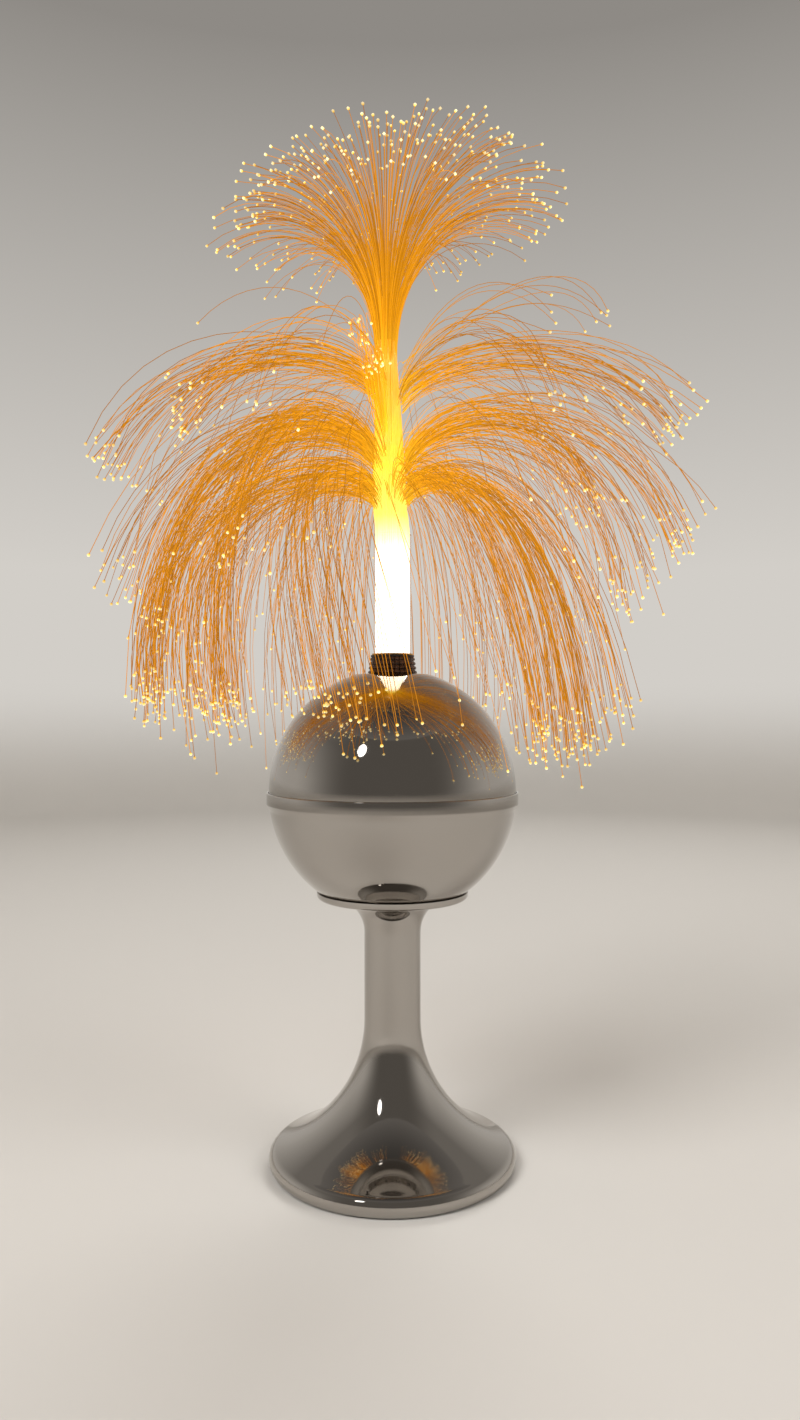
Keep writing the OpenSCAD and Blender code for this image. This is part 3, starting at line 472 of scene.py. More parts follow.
def painted_room(tone, shaded_high_tone, shaded_front_tone, wall_foot, wall_top):
    """Matt emulsion on plaster: even, with the faint orange peel of a roller, about 6 mm across. To the
    camera, to metal and to glass the wall glows in its tone instead of being lit. That glow holds painted
    shade: it is deeper high up and in front of the lamp, which gives the chrome something to mirror. The
    floor is lit, and holds the lamp's shadow."""
    mat = start_material("matt_emulsion")
    peel = speckle(mat, 0.006, 3)
    bump = node(mat, "Bump", {"Strength": 0.04, "Distance": 0.001}, {"Height": peel})
    paint = node(
        mat, "BsdfPrincipled", {"Base Color": (*tone, 1), "Roughness": 0.9, "Specular IOR Level": 0.2},
        {"Normal": bump.outputs["Normal"]}
    )
    place = node(mat, "TexCoord").outputs["Object"]
    apart = node(mat, "SeparateXYZ", None, {"Vector": place})
    height = apart.outputs["Z"]
    rise = node(mat, "MapRange", {"From Min": wall_foot, "From Max": wall_top}, {"Value": height})
    # The front's painted shade starts 0.6 m behind the lamp and is full 2.6 m in front of it
    front = node(
        mat, "MapRange", {"interpolation_type": "SMOOTHSTEP", "From Min": 0.6, "From Max": -2.6},
        {"Value": apart.outputs["Y"]}
    )
    # Painted shade: the glow's tone deepens from the floor's tone up the wall, and deepens again in front of
    # the lamp
    height_shade = node(
        mat, "Mix", {"data_type": "RGBA", MIX_A: (*tone, 1), MIX_B: (*shaded_high_tone, 1)},
        {"Factor": rise.outputs["Result"]}
    )
    painted_shade_tone = node(
        mat, "Mix", {"data_type": "RGBA", MIX_B: (*shaded_front_tone, 1)},
        {"Factor": front.outputs["Result"], MIX_A: height_shade.outputs[MIX_OUT]}
    )
    # The wall glows in this painted-shade tone for camera, glossy and transmission rays
    wall = node(mat, "Emission", None, {"Color": painted_shade_tone.outputs[MIX_OUT]})
    ray = node(mat, "LightPath")
    sharp = node(
        mat, "Math", {"operation": "ADD"}, {0: ray.outputs["Is Camera Ray"], 1: ray.outputs["Is Glossy Ray"]}
    )
    seen = node(
        mat, "Math", {"operation": "ADD", "use_clamp": True},
        {0: sharp.outputs[0], 1: ray.outputs["Is Transmission Ray"]}
    )
    # The wall's glow, with its painted shade, comes in over the cove's lower half
    lift = node(
        mat, "MapRange", {"interpolation_type": "SMOOTHSTEP", "From Min": 0.01, "From Max": wall_foot / 2},
        {"Value": height}
    )
    share = node(mat, "Math", {"operation": "MULTIPLY"}, {0: seen.outputs[0], 1: lift.outputs["Result"]})
    both = node(
        mat, "MixShader", None, {0: share.outputs[0], 1: paint.outputs["BSDF"], 2: wall.outputs["Emission"]}
    )
    node(mat, "OutputMaterial", None, {"Surface": both.outputs["Shader"]})
    return mat


# How each of the record's material slots is finished, with what the real material gives the eye
FINISHES = {
    "chrome": chrome_plate,
    "felt": felt_cloth,
    # Stoved black enamel on pressed steel: even, with a soft gloss
    "black_steel": lambda: plated_metal("black_enamel", "#1D1E20", "#131416", 0.4, 0.02, 0.0),
    # Grey iron as cast: a sandy skin without gloss
    "cast_iron": lambda: plated_metal("grey_cast_iron", "#4A4846", "#302F2E", 0.7, 0.002, 0.6, 0.4),
    # Vulcanised black rubber: dull, with a fine matt grain
    "rubber": lambda: moulding("black_rubber", "#232324", "#171718", 0.65, 0.001),
    # Lacquered turned brass: warm yellow with browner patches
    "brass": lambda: plated_metal("turned_brass", "#C9A14A", "#A67A2E", 0.25, 0.006),
    # Bright zinc plate: cool grey, cloudy
    "zinc": lambda: plated_metal("zinc_plate", "#BCBEC1", "#94979B", 0.34, 0.005),
    "core_steel": core_steel,
    "copper_winding": copper_winding,
    # Glazed white porcelain: nearly even, with a wet gloss
    "porcelain": lambda: moulding("glazed_porcelain", "#EFEAE0", "#E4DCCB", 0.15, 0.004, 0.05, 0.5),
    # Spun and bright-dipped aluminium: pale, and almost a mirror
    "reflector": lambda: plated_metal("bright_aluminium", "#DCDDDF", "#C4C6C9", 0.14, 0.003),
    # Moulded nylon: cream, with a satin skin
    "cream_plastic": lambda: moulding("cream_nylon", "#E9E2CF", "#DDD4BB", 0.45, 0.0015),
    # Soft vinyl round the leads: strong even colour, with a half gloss
    "red_insulation": lambda: moulding("red_pvc", "#A3241B", "#7E1812", 0.4, 0.0015),
    "black_insulation": lambda: moulding("black_pvc", "#222326", "#151618", 0.4, 0.0015),
    # Blown glass: clear, with a smooth hard shine
    "bulb_glass": lambda: clear_skin("bulb_glass", "#FFFFFF", 1.5, 0.0, 0.01),
    # Drawn brass of a bulb's cap: paler than turned brass, a little cloudy
    "bulb_brass": lambda: plated_metal("bulb_cap_brass", "#C8AA62", "#A88742", 0.3, 0.004),
    "filament": hot_filament,
    # Brown phenolic resin: almost black, with a soft gloss
    "neck_brown": lambda: moulding("brown_bakelite", "#4A3122", "#2A1A10", 0.35, 0.004, 0.08, 0.2),
    # Moulded acetal: black, with a waxy half gloss
    "liner_black": lambda: moulding("black_acetal", "#1E1E20", "#141416", 0.4, 0.002),
    "bundle": lit_bundle,
    # Clear vinyl tube, close round the bundle: hardly seen but for a soft shine
    "clear_sleeve": lambda: clear_skin("clear_vinyl", "#FFFFFF", 1.05, 0.02, 0.02),
    # Grey phosphated steel: dark, with a dull sheen
    "wheel_frame": lambda: plated_metal("phosphated_steel", "#6A6C70", "#505256", 0.5, 0.004, 0.8),
    # Dyed gelatine filters: see-through sheets, each of one strong colour
    "filter_amber": lambda: clear_skin("amber_gel", "#FF9A00", 1.49, 0.05, 0.01),
    "filter_red": lambda: clear_skin("red_gel", "#E0261C", 1.49, 0.05, 0.01),
    "filter_green": lambda: clear_skin("green_gel", "#2FA84A", 1.49, 0.05, 0.01),
    "filter_blue": lambda: clear_skin("blue_gel", "#2A5BD7", 1.49, 0.05, 0.01),
    "fibre": lit_fibre,
}
made_finishes = {}


def finish(slot):
    """The material of a slot, made the first time that it is asked for."""
    if slot not in made_finishes:
        made_finishes[slot] = FINISHES[slot]()
    return made_finishes[slot]


# -------------------- fibres

# A fibre's sides, and the rings along its body
SIDES = 4
BODY_RINGS = 16
# The bead at a tip: each ring's place and width, as shares of the bead's length and thickness
BEAD_RINGS = ((0.3, 0.8), (0.75, 1.0), (1.0, 0.45))
BEAD_LENGTH = 2.2 * MM
RINGS = BODY_RINGS + len(BEAD_RINGS)
# Shares of light that a fibre may carry
FIBRE_LIGHTS = (0.6, 0.8, 1.0, 1.15, 1.45)
# Most that a fibre's end may stand from the axis, in mm
REACH_LIMIT = 218
# The crown: clumps, how far a fibre is drawn to its clump, how late it bends, and in mm the radius of its
# root and its lean to the left
CROWN_CLUMPS, CROWN_PULL, CROWN_CURL, CROWN_ROOT, CROWN_LEAN = 60, 0.3, 1.35, 7.5, 4.5
GOLDEN = math.radians(137.508)
# The trunk of bound fibres, in mm: (height, radius) over the sleeve, its radius in the sleeve, at the top and
# at its end in the crown, how far that end stands over the top, and its lean to the left over the sleeve
TRUNK_SIZES = ((459, 11.7), (480, 10.9), (500, 9.8), (520, 9.0), (540, 8.1))
TRUNK_FULL, TRUNK_TOP, TRUNK_END, TRUNK_OVER, TRUNK_LEAN = 11.9, 7.3, 7.0, 8, 2.5
# Flutes round it, their depth as a share of its radius, and their winding in radians a metre
FLUTES, FLUTE_DEPTH, FLUTE_WIND = 48, 0.035, 3
# Points round the neck for each of its upright grooves
KNURL_LINES = 8


def polar(radius, angle):
    return Vector((radius * math.cos(angle), radius * math.sin(angle)))


class Plume(NamedTuple):
    """Fibres of a tier that hang together. Heights and radii are in mm, angles in degrees: azimuth 0 is +X,
    180 is -X and 270 is the front. The two pulls and the tip are (radius, height)."""

    count: int
    azimuth: float
    spread: float
    root: float
    first: tuple
    second: tuple
    tip: tuple
    scatter: float = 12
    swirl: float = 0


UPPER_PLUMES = (
    Plume(38, 184, 20, 532, (20, 566), (100, 580), (142, 514), 10),
    Plume(40, 178, 22, 526, (26, 564), (150, 578), (192, 482), 11),
    Plume(18, 3, 26, 532, (24, 558), (110, 580), (164, 524), 13),
    Plume(40, 357, 22, 526, (26, 560), (142, 582), (192, 512), 10),
    Plume(20, 40, 34, 530, (22, 566), (130, 582), (175, 495), 16),
    Plume(24, 90, 40, 530, (22, 566), (135, 582), (180, 495), 16),
    Plume(20, 140, 34, 530, (22, 566), (130, 582), (175, 495), 16),
    Plume(12, 232, 26, 530, (22, 564), (115, 578), (150, 488), 14),
    Plume(12, 308, 26, 530, (22, 564), (115, 578), (150, 488), 14),
)
MIDDLE_PLUMES = (
    Plume(40, 182, 24, 484, (30, 540), (134, 540), (114, 320), 11),
    Plume(54, 177, 30, 478, (30, 532), (176, 520), (170, 322), 13),
    Plume(26, 184, 24, 482, (30, 538), (154, 530), (188, 402), 10),
    Plume(26, 181, 26, 480, (30, 536), (150, 528), (160, 374), 13),
    Plume(10, 188, 26, 480, (28, 530), (90, 530), (112, 424), 7),
    Plume(12, 222, 22, 480, (25, 525), (70, 520), (74, 426), 8),
    Plume(36, 359, 22, 484, (34, 530), (156, 546), (195, 430), 11),
    Plume(26, 4, 34, 484, (30, 526), (112, 536), (139, 460), 13),
    Plume(30, 356, 34, 478, (30, 524), (146, 520), (168, 392), 14),
    Plume(28, 45, 36, 480, (30, 528), (165, 530), (188, 390), 20),
    Plume(34, 90, 44, 480, (30, 528), (170, 530), (194, 390), 20),
    Plume(28, 135, 36, 480, (30, 528), (165, 530), (188, 390), 20),
    Plume(14, 232, 24, 480, (28, 526), (136, 526), (160, 400), 16, 8),
    Plume(12, 308, 24, 480, (28, 526), (136, 526), (162, 400), 16, 8),
)
LOWER_PLUMES = (
    Plume(70, 182, 44, 457, (25, 496), (168, 474), (136, 314), 20),
    Plume(34, 176, 30, 457, (25, 496), (190, 470), (166, 330), 12),
    Plume(54, 204, 22, 455, (25, 492), (112, 478), (88, 322), 10, 38),
    Plume(16, 222, 18, 455, (22, 488), (85, 470), (78, 300), 8, 40),
    Plume(46, 346, 36, 464, (42, 486), (114, 468), (134, 290), 14, 8),
    Plume(38, 328, 34, 463, (40, 486), (104, 470), (120, 296), 14, 16),
    Plume(28, 356, 30, 462, (42, 492), (130, 480), (160, 314), 12, 8),
    Plume(34, 300, 26, 462, (30, 488), (88, 474), (106, 294), 11, 34),
    Plume(12, 268, 16, 462, (18, 486), (70, 476), (96, 330), 8, 44),
    Plume(34, 45, 44, 457, (25, 494), (130, 474), (120, 308), 15),
    Plume(40, 90, 50, 457, (25, 494), (135, 474), (120, 308), 15),
    Plume(34, 135, 44, 457, (25, 494), (140, 474), (120, 308), 15),
)
# A short tuft that stands up against the bundle's front left
SHORT_PLUMES = (
    Plume(34, 226, 40, 500, (17, 530), (22, 562), (18, 549), 4),
    Plume(12, 190, 30, 504, (18, 545), (28, 586), (25, 570), 6),
)
# Fibres that hang alone
STRAY_PLUMES = (
    Plume(3, 0, 12, 540, (32, 592), (72, 606), (106, 584), 8),
    Plume(3, 356, 14, 536, (30, 590), (66, 598), (106, 540), 10),
    Plume(4, 2, 16, 545, (70, 600), (120, 620), (146, 590), 10),
    Plume(2, 2, 8, 540, (60, 610), (110, 630), (150, 580), 6),
    Plume(1, 182, 4, 540, (36, 596), (90, 606), (134, 582), 2),
    Plume(2, 200, 20, 540, (20, 600), (36, 608), (50, 566), 3),
    Plume(2, 0, 6, 482, (40, 560), (170, 540), (222, 452), 3),
)


def plume_routes(plumes, root_radius, fullness, chance):
    """Routes of the fibres of some plumes: up out of the bundle, over, and down to their tips."""
    routes = []
    for plume in plumes:
        for _ in range(max(1, round(plume.count * fullness))):
            # Each fibre takes its own place in the plume, and its own reach, height and tip
            turn = math.radians(plume.azimuth + max(-1, min(1, chance.gauss(0, 0.45))) * plume.spread)
            swirl = math.radians(plume.swirl * chance.uniform(0.6, 1.4))
            reach, lift = chance.uniform(0.9, 1.08), chance.uniform(0.75, 1.25)
            slip = chance.uniform(-9, 9)
            tip_r = plume.tip[0] + chance.gauss(0, 0.6) * plume.scatter
            tip_z = plume.tip[1] + chance.gauss(0, 0.9) * plume.scatter
            pulls = [
                (root_radius / MM, plume.root + slip),
                (plume.first[0] * reach, plume.root + slip + (plume.first[1] - plume.root) * lift),
                (plume.second[0] * reach, plume.root + slip + (plume.second[1] - plume.root) * lift),
                (min(tip_r, REACH_LIMIT), tip_z),
            ]
            route = []
            for i in range(BODY_RINGS):
                t = i / (BODY_RINGS - 1)
                r, z = cubic(pulls, t) * MM
                a = turn + swirl * t**1.5
                route.append(Vector((r * math.cos(a), r * math.sin(a), z)))
            routes.append(route)
    return routes


def crown_routes(count, length, bend, root_height, chance):
    """Routes of the crown's fibres, which fan out from the bundle's top in loose clumps. Seen from above, a
    fibre heads for its place in a disc: the middle stays upright, and the rim turns right over. A fibre stays
    nearly straight at first, and bends more and more towards its tip."""
    clumps = [polar(math.sqrt(chance.random()), TURN * chance.random()) for _ in range(CROWN_CLUMPS)]
    routes = []
    for j in range(count):
        place = polar(math.sqrt((j + 0.5) / count), GOLDEN * j)
        near = min(clumps, key=lambda clump: (clump - place).length)
        place = place.lerp(near, CROWN_PULL)
        share, turn = place.length, math.atan2(place.y, place.x) + math.radians(chance.gauss(0, 2))
        # The front and the left turn over a little sooner than the back and the right
        whole = bend * share * chance.uniform(0.93, 1.05)
        whole *= 1 - 0.04 * math.cos(turn) - 0.04 * math.sin(turn)
        step = length * chance.uniform(0.82, 1.0) * (1 + 0.04 * math.cos(turn) + 0.03 * math.sin(turn))
        # The outer fibres are longer
        step *= 0.92 + 0.02 * share + 0.14 * share**2
        step /= BODY_RINGS - 1
        out, height = CROWN_ROOT * MM * share, root_height
        route = []
        for i in range(BODY_RINGS):
            route.append(Vector((out * math.cos(turn) - CROWN_LEAN * MM, out * math.sin(turn), height)))
            angle = whole * ((i + 0.5) / (BODY_RINGS - 1)) ** CROWN_CURL
            out, height = out + step * math.sin(angle), height + step * math.cos(angle)
        routes.append(route)
    return routes


def strand_template():
    """One straight fibre: rings one apart up the Z axis, closed at both ends, with the share of its length
    in its UV map."""
    bm = bmesh.new()
    bmesh.ops.create_circle(bm, cap_ends=True, segments=SIDES, radius=1)
    edges = bm.edges[:]
    for _ in range(RINGS - 1):
        made = bmesh.ops.extrude_edge_only(bm, edges=edges)["geom"]
        verts = [e for e in made if isinstance(e, bmesh.types.BMVert)]
        edges = [e for e in made if isinstance(e, bmesh.types.BMEdge) and all(v in verts for v in e.verts)]
        bmesh.ops.translate(bm, verts=verts, vec=(0, 0, 1))
    bmesh.ops.edgeloop_fill(bm, edges=edges)
    bmesh.ops.recalc_face_normals(bm, faces=bm.faces)
    strand = bm.loops.layers.uv.new("strand")
    for face in bm.faces:
        for loop in face.loops:
            loop[strand].uv = (0.5 + 0.5 * loop.vert.co.x, loop.vert.co.z / (RINGS - 1))
    return mesh_of("strand", bm)


def add_strands(name, routes, lights, chance, *nodes):
    """Fibres along routes, all in one piece. A route has BODY_RINGS points; the bead is added at its end.
    Each fibre carries one of the shares of light in lights."""
    settings = bpy.context.scene.lamp_spray
    template = strand_template()
    ring_points = [(round(v.co.z), v.co.x, v.co.y) for v in template.vertices]
    widths = [settings.fibre / 2] * BODY_RINGS + [share * settings.bead / 2 for _, share in BEAD_RINGS]
    bm = bmesh.new()
    places, shares = [], []
    for route in routes:
        bm.from_mesh(template)
        end = (route[-1] - route[-2]).normalized()
        centres = route + [route[-1] + end * past * BEAD_LENGTH for past, _ in BEAD_RINGS]
        out = route[-1] - route[0]
        side = Vector((-out.y, out.x, 0)).normalized() if out.xy.length > 1e-6 else Vector((0, 1, 0))
        frames = []
        for i in range(RINGS):
            way = (centres[min(i + 1, RINGS - 1)] - centres[max(i - 1, 0)]).normalized()
            across = way.cross(side).normalized()
            frames.append((centres[i], across.cross(way) * widths[i], across * widths[i]))
        places += [frames[i][0] + x * frames[i][1] + y * frames[i][2] for i, x, y in ring_points]
        shares += [chance.choice(lights)] * len(ring_points)
    for vert, place in zip(bm.verts, places):
        vert.co = place
    bmesh.ops.recalc_face_normals(bm, faces=bm.faces)
    piece = add_piece(name, bm, "spray", "fibre", *nodes, crease=180)
    piece.data.attributes.new("share", "FLOAT", "POINT").data.foreach_set("value", shares)
    bpy.data.meshes.remove(template)
    return piece


# -------------------- operators


class FIBRELAMP_OT_stage(bpy.types.Operator):
    """Set up the camera, the floor with its curved backdrop, the lights and the sky"""

    bl_idname = "fibre_lamp.stage"
    bl_label = "Stage"

    def execute(self, context):
        settings, scene = context.scene.lamp_stage, context.scene
        lens = bpy.data.cameras.new("camera")
        lens.lens = settings.lens
        lens.sensor_width = 36
        camera = add_object("camera", lens)
        camera.location = (settings.aside, -settings.away, settings.height)
        camera.rotation_euler = (math.pi / 2 - settings.dip, 0, 0)
        scene.camera = camera

        # Floor, cove and wall in one sweep round the lamp. The wall's painted shade is at its deepest at
        # tone_top.
        floor_r, cove_r, wall_top, tone_top = 2.4, 0.8, 4.2, 2.8
        line = [(0, 0), *arc((floor_r, cove_r), cove_r, -90, 0, 24), (floor_r + cove_r, wall_top)]
        mesh = mesh_of("backdrop", spun(line, turns=96, closed=False))
        mesh.shade_smooth()
        mesh.materials.append(painted_room(settings.floor, settings.high, settings.front, cove_r, tone_top))
        add_object("backdrop", mesh)

        # Name, place, width, height and power of each soft light. All look at the middle of the lamp, and
        # only the small one is mirrored in the chrome.
        aim = Vector((0, 0, 0.4))
        for name, place, width, height, power in (
            ("key_light", (-1.3, -1.3, 2.1), 1.3, 1.3, 43),
            ("fill_light", (1.7, -1.0, 1.5), 1.6, 1.2, 20),
            ("back_light", (0.5, 1.7, 2.1), 1.6, 0.8, 22),
            ("glint_light", (-1.1, -1.7, 1.9), 0.34, 0.5, 2.4),
        ):
            lamp = bpy.data.lights.new(name, "AREA")
            lamp.shape = "ELLIPSE"
            lamp.size, lamp.size_y, lamp.energy = width, height, power
            light = add_object(name, lamp)
            light.location = place
            light.rotation_euler = (aim - Vector(place)).to_track_quat("-Z", "Y").to_euler()
            light.visible_camera = False
            light.visible_glossy = name == "glint_light"

        # Sky: pale over the wall's top and darker overhead, so that the dome's top has something to mirror
        world = bpy.data.worlds.new("studio_sky")
        world.use_nodes = True
        world.node_tree.nodes.clear()
        way = node(world, "TexCoord").outputs["Generated"]
        height = node(world, "SeparateXYZ", None, {"Vector": way}).outputs["Z"]
        sky = node(world, "ValToRGB", None, {"Fac": height}, [
            (0.5, "#E4E0DA"), (0.8, "#8E8A86"), (1.0, "#55524F"),
        ])
        shine = node(world, "Background", {"Strength": 0.8}, {"Color": sky.outputs["Color"]})
        node(world, "OutputWorld", None, {"Surface": shine.outputs["Background"]})
        scene.world = world
        scene.view_settings.view_transform = "Standard"
        return {"FINISHED"}


class FIBRELAMP_OT_foot(bpy.types.Operator):
    """Spin the trumpet-shaped foot and stem, and drill the cord's hole"""

    bl_idname = "fibre_lamp.foot"
    bl_label = "Foot and stem"

    def execute(self, context):
        settings = context.scene.lamp_shell
        top = top_of("pedestal_shell")
        edge_r, sheet, stem = settings.foot_edge, settings.sheet, settings.stem
        # Angle at which the rounded edge ends under the foot, in degrees, and the sweep's slope at the edge
        open_a, fall = -42, math.radians(21)
        # How far the sweep's control points lie from its ends, at the edge and at the stem
        edge_pull, stem_pull = 37.5 * MM, 40 * MM
        # How far over the stem's top the flare's full quarter round would reach
        flare_over = 1 * MM
        edge = (
            radius_of("pedestal_shell") - edge_r, settings.foot_lip - edge_r * math.sin(math.radians(open_a))
        )
        sweep_end = Vector((edge[0] + edge_r * math.sin(fall), edge[1] + edge_r * math.cos(fall)))
        pulls = [
            sweep_end, sweep_end + edge_pull * Vector((-math.cos(fall), math.sin(fall))),
            (stem, settings.sweep_top - stem_pull), (stem, settings.sweep_top)
        ]
        flare = (stem + settings.flare, top - settings.flare + flare_over)
        outer = arc(edge, edge_r, open_a, 90 - math.degrees(fall), 28)[:-1]
        sweep_steps = 64
        outer += [tuple(cubic(pulls, i / sweep_steps)) for i in range(sweep_steps + 1)]
        inner = beside(outer, -sheet)
        for line, radius in ((outer, settings.flare), (inner, settings.flare + sheet)):
            last = 180 - math.degrees(math.asin((top - flare[1]) / radius))
            line += arc(flare, radius, 180, last, 20)
        shell = spun(outer + inner[::-1], settings.turns)
        piece = add_piece("foot_shell", shell, "stand", "chrome", "pedestal_shell")

        # The cord's hole fits the bottom of the grommet's groove, and looks out and up
        low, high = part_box("cord_grommet")
        groove, drill_length, tilt = 1.2 * MM, 8 * MM, math.radians(28)
        way = Vector((0, math.cos(tilt), math.sin(tilt)))
        wall = Vector((0, edge[0], edge[1])) + way * (edge_r - sheet / 2)
        drill(piece, [(wall, way, (high[0] - low[0]) / 2 - groove, drill_length)])
        soften(piece, width=0.25 * MM)
        return {"FINISHED"}


class FIBRELAMP_OT_ball(bpy.types.Operator):
    """Spin the saucer, the bowl with its raised band and the dome, and drill the vents"""

    bl_idname = "fibre_lamp.ball"
    bl_label = "Ball"

    def execute(self, context):
        settings = context.scene.lamp_shell
        sheet, turns = settings.sheet, settings.turns
        ball_r = radius_of("upper_dome")
        seat, flat = foot_of("upper_dome"), top_of("upper_dome")
        middle = flat - math.sqrt(ball_r**2 - settings.dome_flat**2)
        # The tie rod's hole, and the ring of vents that goes through both floors
        hole_r = 5.3 * MM
        vent_count, vent_ring_r, vent_r, drill_length = 12, 41.3 * MM, 2 * MM, 12 * MM
        vents = []
        for i in range(vent_count):
            a = TURN * (i + 0.5) / vent_count
            place = (vent_ring_r * math.cos(a), vent_ring_r * math.sin(a), foot_of("saucer"))
            vents.append((place, (0, 0, 1), vent_r, drill_length))

        saucer_r, saucer_foot, edge_r = radius_of("saucer"), foot_of("saucer"), 3 * MM
        corner = (saucer_r - edge_r, saucer_foot + edge_r)
        outline = [(hole_r, saucer_foot), *arc(corner, edge_r, -90, 0, 10)]
        outline += [(saucer_r, top_of("saucer")), (saucer_r - sheet, top_of("saucer"))]
        outline += [*arc(corner, edge_r - sheet, 0, -90, 8), (hole_r, saucer_foot + sheet)]
        piece = add_piece("saucer_shell", spun(outline, turns), "stand", "chrome", "saucer")
        drill(piece, vents)
        soften(piece, width=0.2 * MM)

        # The bowl steps out over the last joggle of its height to the band, whose rim is a half round
        floor, band_r = foot_of("lower_bowl"), radius_of("lower_bowl")
        joggle, bead = 3.5 * MM, sheet / 2
        low_a = -math.degrees(math.asin((middle - floor) / ball_r))
        joggle_a = -math.degrees(math.asin((middle - seat + joggle) / ball_r))
        inner_r = ball_r - sheet
        seat_a = -math.degrees(math.asin((middle - seat) / inner_r))
        floor_a = -math.degrees(math.asin((middle - floor - sheet) / inner_r))
        outline = [(hole_r, floor), *arc((0, middle), ball_r, low_a, joggle_a, 48), (band_r, seat)]
        outline += arc((band_r - bead, top_of("lower_bowl") - bead), bead, 0, 180, 8)
        outline += [(band_r - sheet, seat), *arc((0, middle), inner_r, seat_a, floor_a, 48)]
        outline.append((hole_r, floor + sheet))
        piece = add_piece("bowl_shell", spun(outline, turns), "stand", "chrome", "lower_bowl")
        drill(piece, vents)
        soften(piece, width=0.2 * MM)

        # The dome, with the neck's hole in its flat
        neck_r = 17 * MM
        flat_a = math.degrees(math.asin((flat - middle) / ball_r))
        under_a = math.degrees(math.asin((flat - sheet - middle) / inner_r))
        outline = [(inner_r, seat), (ball_r, seat), *arc((0, middle), ball_r, 0, flat_a, 72)]
        outline += [(neck_r, flat), (neck_r, flat - sheet), *arc((0, middle), inner_r, under_a, 0, 72)]
        piece = add_piece("dome_shell", spun(outline, turns), "dome", "chrome", "upper_dome", crease=25)
        soften(piece, width=0.3 * MM)
        return {"FINISHED"}


class FIBRELAMP_OT_neck(bpy.types.Operator):
    """Spin the ribbed neck and cut the grooves of its grip"""

    bl_idname = "fibre_lamp.neck"
    bl_label = "Neck"

    def execute(self, context):
        settings = context.scene.lamp_shell
        foot, top, flat = foot_of("neck_collar"), top_of("neck_collar"), top_of("upper_dome")
        # Radius at the ribs' crests at the foot and at the top, and how far a rib and a knurl stand out
        wide, narrow, rib_out, knurl_out = radius_of("neck_collar"), 15.3 * MM, 1.0 * MM, 0.8 * MM
        # How far the bore and the spigot under the dome's flat stand outside the bundle
        bore_gap, spigot_gap = 1.9 * MM, 3.3 * MM
        bore, spigot = radius_of("bundle_core") + bore_gap, radius_of("bundle_core") + spigot_gap
        pitch, slope = (top - flat) / settings.ribs, (wide - narrow) / (top - flat)
        # A rib fills the middle eight tenths of its pitch, in eight steps
        steps = 8
        side = []
        for rib in range(settings.ribs):
            for k in range(steps + 1):
                z = pitch * (rib + 0.1 + 0.1 * k)
                swell = rib_out * math.sin(math.pi * k / steps) ** 0.5
                side.append((wide - rib_out - slope * z + swell, flat + z))
        outline = [(bore, foot), (spigot, foot), (spigot, flat), (wide - rib_out, flat), *side]
        outline += [(narrow - rib_out, top), (bore, top)]
        lines = settings.knurls * KNURL_LINES
        bm = spun(outline, lines)
        # One upright line in each knurl is pressed in, on the outside alone
        wall = 1 * MM
        for vert in bm.verts:
            out = vert.co.xy.length
            line = round(math.atan2(vert.co.y, vert.co.x) / TURN * lines)
            if line % KNURL_LINES == 0 and flat < vert.co.z < top and out > bore + wall:
                vert.co.xy *= (out - knurl_out) / out
        add_piece("ribbed_neck", bm, "dome", "neck_brown", "neck_collar", crease=35)
        return {"FINISHED"}


class FIBRELAMP_OT_bundle(bpy.types.Operator):
    """Model the trunk of bound fibres"""

    bl_idname = "fibre_lamp.bundle"
    bl_label = "Bundle"

    def execute(self, context):
        foot, top = foot_of("bundle_core"), top_of("bundle_core")
        sleeve_top = top_of("bundle_sleeve")
        sizes = [(foot, TRUNK_FULL), (sleeve_top, TRUNK_FULL)]
        sizes += [(height * MM, radius) for height, radius in TRUNK_SIZES]
        sizes += [(top, TRUNK_TOP), (top + TRUNK_OVER * MM, TRUNK_END)]
        ring_gap, turns = 4 * MM, 192
        outline = [(0, foot)]
        for (low, r0), (high, r1) in zip(sizes, sizes[1:]):
            steps = max(2, round((high - low) / ring_gap))
            for i in range(steps):
                outline.append(((r0 + (r1 - r0) * i / steps) * MM, low + (high - low) * i / steps))
        outline += [(sizes[-1][1] * MM, sizes[-1][0]), (0, sizes[-1][0])]
        bm = spun(outline, turns)
        # Flutes that wind a little, and a lean to the left: some of it just over the sleeve, and the rest
        # under the crown
        sleeve_ease, crown_ease, crown_from = 30 * MM, 60 * MM, 0.5
        for vert in bm.verts:
            rise = ramp(vert.co.z, sleeve_top, sleeve_ease)
            turn = math.atan2(vert.co.y, vert.co.x) + FLUTE_WIND * (vert.co.z - foot)
            vert.co.xy *= 1 - FLUTE_DEPTH + FLUTE_DEPTH * math.cos(FLUTES * turn)
            vert.co.x -= TRUNK_LEAN * MM * rise * rise * (3 - 2 * rise)
            vert.co.x -= (CROWN_LEAN - TRUNK_LEAN) * MM * ramp(vert.co.z, crown_from, crown_ease)
        add_piece("bound_fibres", bm, "spray", "bundle", "bundle_core", crease=50)
        return {"FINISHED"}


class FIBRELAMP_OT_crown(bpy.types.Operator):
    """Fan the crown's fibres out from the top of the bundle"""

    bl_idname = "fibre_lamp.crown"
    bl_label = "Crown"

    def execute(self, context):
        settings = context.scene.lamp_spray
        chance = random.Random(settings.seed)
        # The roots start inside the trunk
        root = top_of("bundle_core") - 6 * MM
        routes = crown_routes(settings.crown, settings.crown_length, settings.crown_bend, root, chance)
        add_strands("crown_fibres", routes, FIBRE_LIGHTS, chance, "crown_tuft")
        return {"FINISHED"}


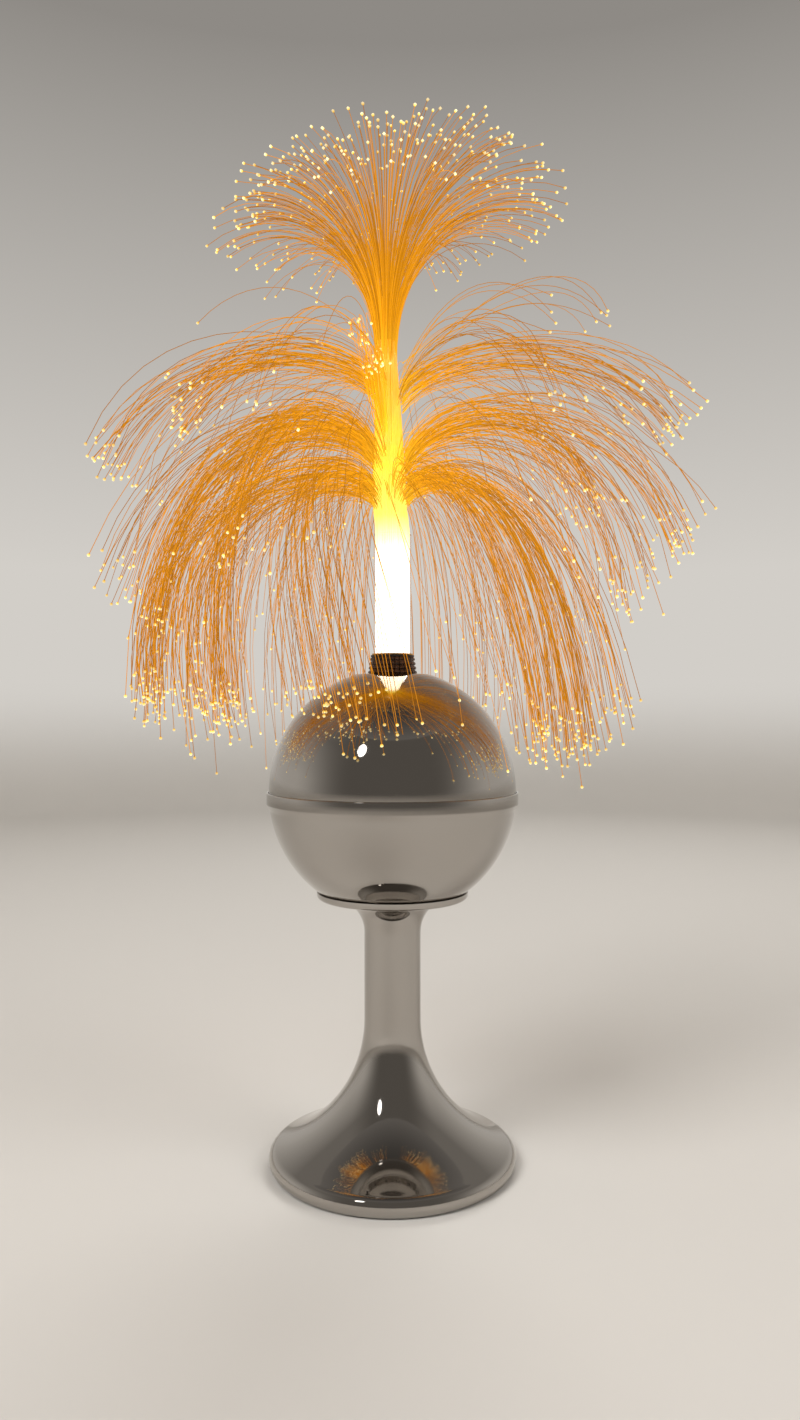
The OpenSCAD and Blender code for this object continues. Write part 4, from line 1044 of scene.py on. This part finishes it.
class FIBRELAMP_OT_tiers(bpy.types.Operator):
    """Hang the three tiers of drooping fibres, the short tuft and the strays"""

    bl_idname = "fibre_lamp.tiers"
    bl_label = "Tiers"

    def execute(self, context):
        settings = context.scene.lamp_spray
        # Each piece's name, plumes, root radius, fibres' shares of light, and the CAD nodes it stands for
        for name, plumes, root_r, lights, nodes in (
            ("upper_fibres", UPPER_PLUMES, 7 * MM, FIBRE_LIGHTS, [f"upper_tuft_{i}" for i in range(1, 5)]),
            ("middle_fibres", MIDDLE_PLUMES, 9 * MM, FIBRE_LIGHTS, [f"middle_tuft_{i}" for i in range(1, 5)]),
            ("lower_fibres", LOWER_PLUMES, 10.5 * MM, FIBRE_LIGHTS, [f"lower_tuft_{i}" for i in range(1, 7)]),
            ("short_fibres", SHORT_PLUMES, 9 * MM, (1.4, 1.8, 2.2), []),
            ("stray_fibres", STRAY_PLUMES, 7 * MM, (0.8, 1.0), []),
        ):
            chance = random.Random(f"{name} {settings.seed}")
            routes = plume_routes(plumes, root_r, settings.fullness, chance)
            add_strands(name, routes, lights, chance, *nodes)
        return {"FINISHED"}


class FIBRELAMP_OT_works(bpy.types.Operator):
    """Finish the parts that keep their CAD shape, in the ball, under the foot and in the neck"""

    bl_idname = "fibre_lamp.works"
    bl_label = "Works"

    def execute(self, context):
        for part in frame["record"]["subparts"]:
            piece = frame["nodes"][part["node"]]
            if not piece.hide_render:
                piece.data.materials.clear()
                piece.data.materials.append(finish(part["material_slot"]))
        return {"FINISHED"}


# -------------------- panel and registration

OPERATORS = (
    FIBRELAMP_OT_stage, FIBRELAMP_OT_foot, FIBRELAMP_OT_ball, FIBRELAMP_OT_neck, FIBRELAMP_OT_bundle,
    FIBRELAMP_OT_crown, FIBRELAMP_OT_tiers, FIBRELAMP_OT_works,
)


class FIBRELAMP_PT_panel(bpy.types.Panel):
    """The lamp's sizes and the steps that build it"""

    bl_label = "Fibre Lamp"
    bl_idname = "FIBRELAMP_PT_panel"
    bl_space_type = "VIEW_3D"
    bl_region_type = "UI"
    bl_category = "Fibre Lamp"

    def draw(self, context):
        for name in ("lamp_shell", "lamp_spray", "lamp_stage"):
            settings = getattr(context.scene, name)
            box = self.layout.box()
            for key in settings.__annotations__:
                box.prop(settings, key)
        for operator in OPERATORS:
            self.layout.operator(operator.bl_idname)


SETTINGS = {"lamp_shell": LampShellSettings, "lamp_spray": LampSpraySettings, "lamp_stage": LampStageSettings}


def register():
    for made in (*SETTINGS.values(), *OPERATORS, FIBRELAMP_PT_panel):
        bpy.utils.register_class(made)
    for name, group in SETTINGS.items():
        setattr(bpy.types.Scene, name, PointerProperty(type=group))


def unregister():
    for name in SETTINGS:
        delattr(bpy.types.Scene, name)
    for made in (FIBRELAMP_PT_panel, *OPERATORS[::-1], *SETTINGS.values()):
        bpy.utils.unregister_class(made)


def main():
    register()
    for operator in OPERATORS:
        group, step = operator.bl_idname.split(".")
        getattr(getattr(bpy.ops, group), step)()


if __name__ == "__main__":
    main()
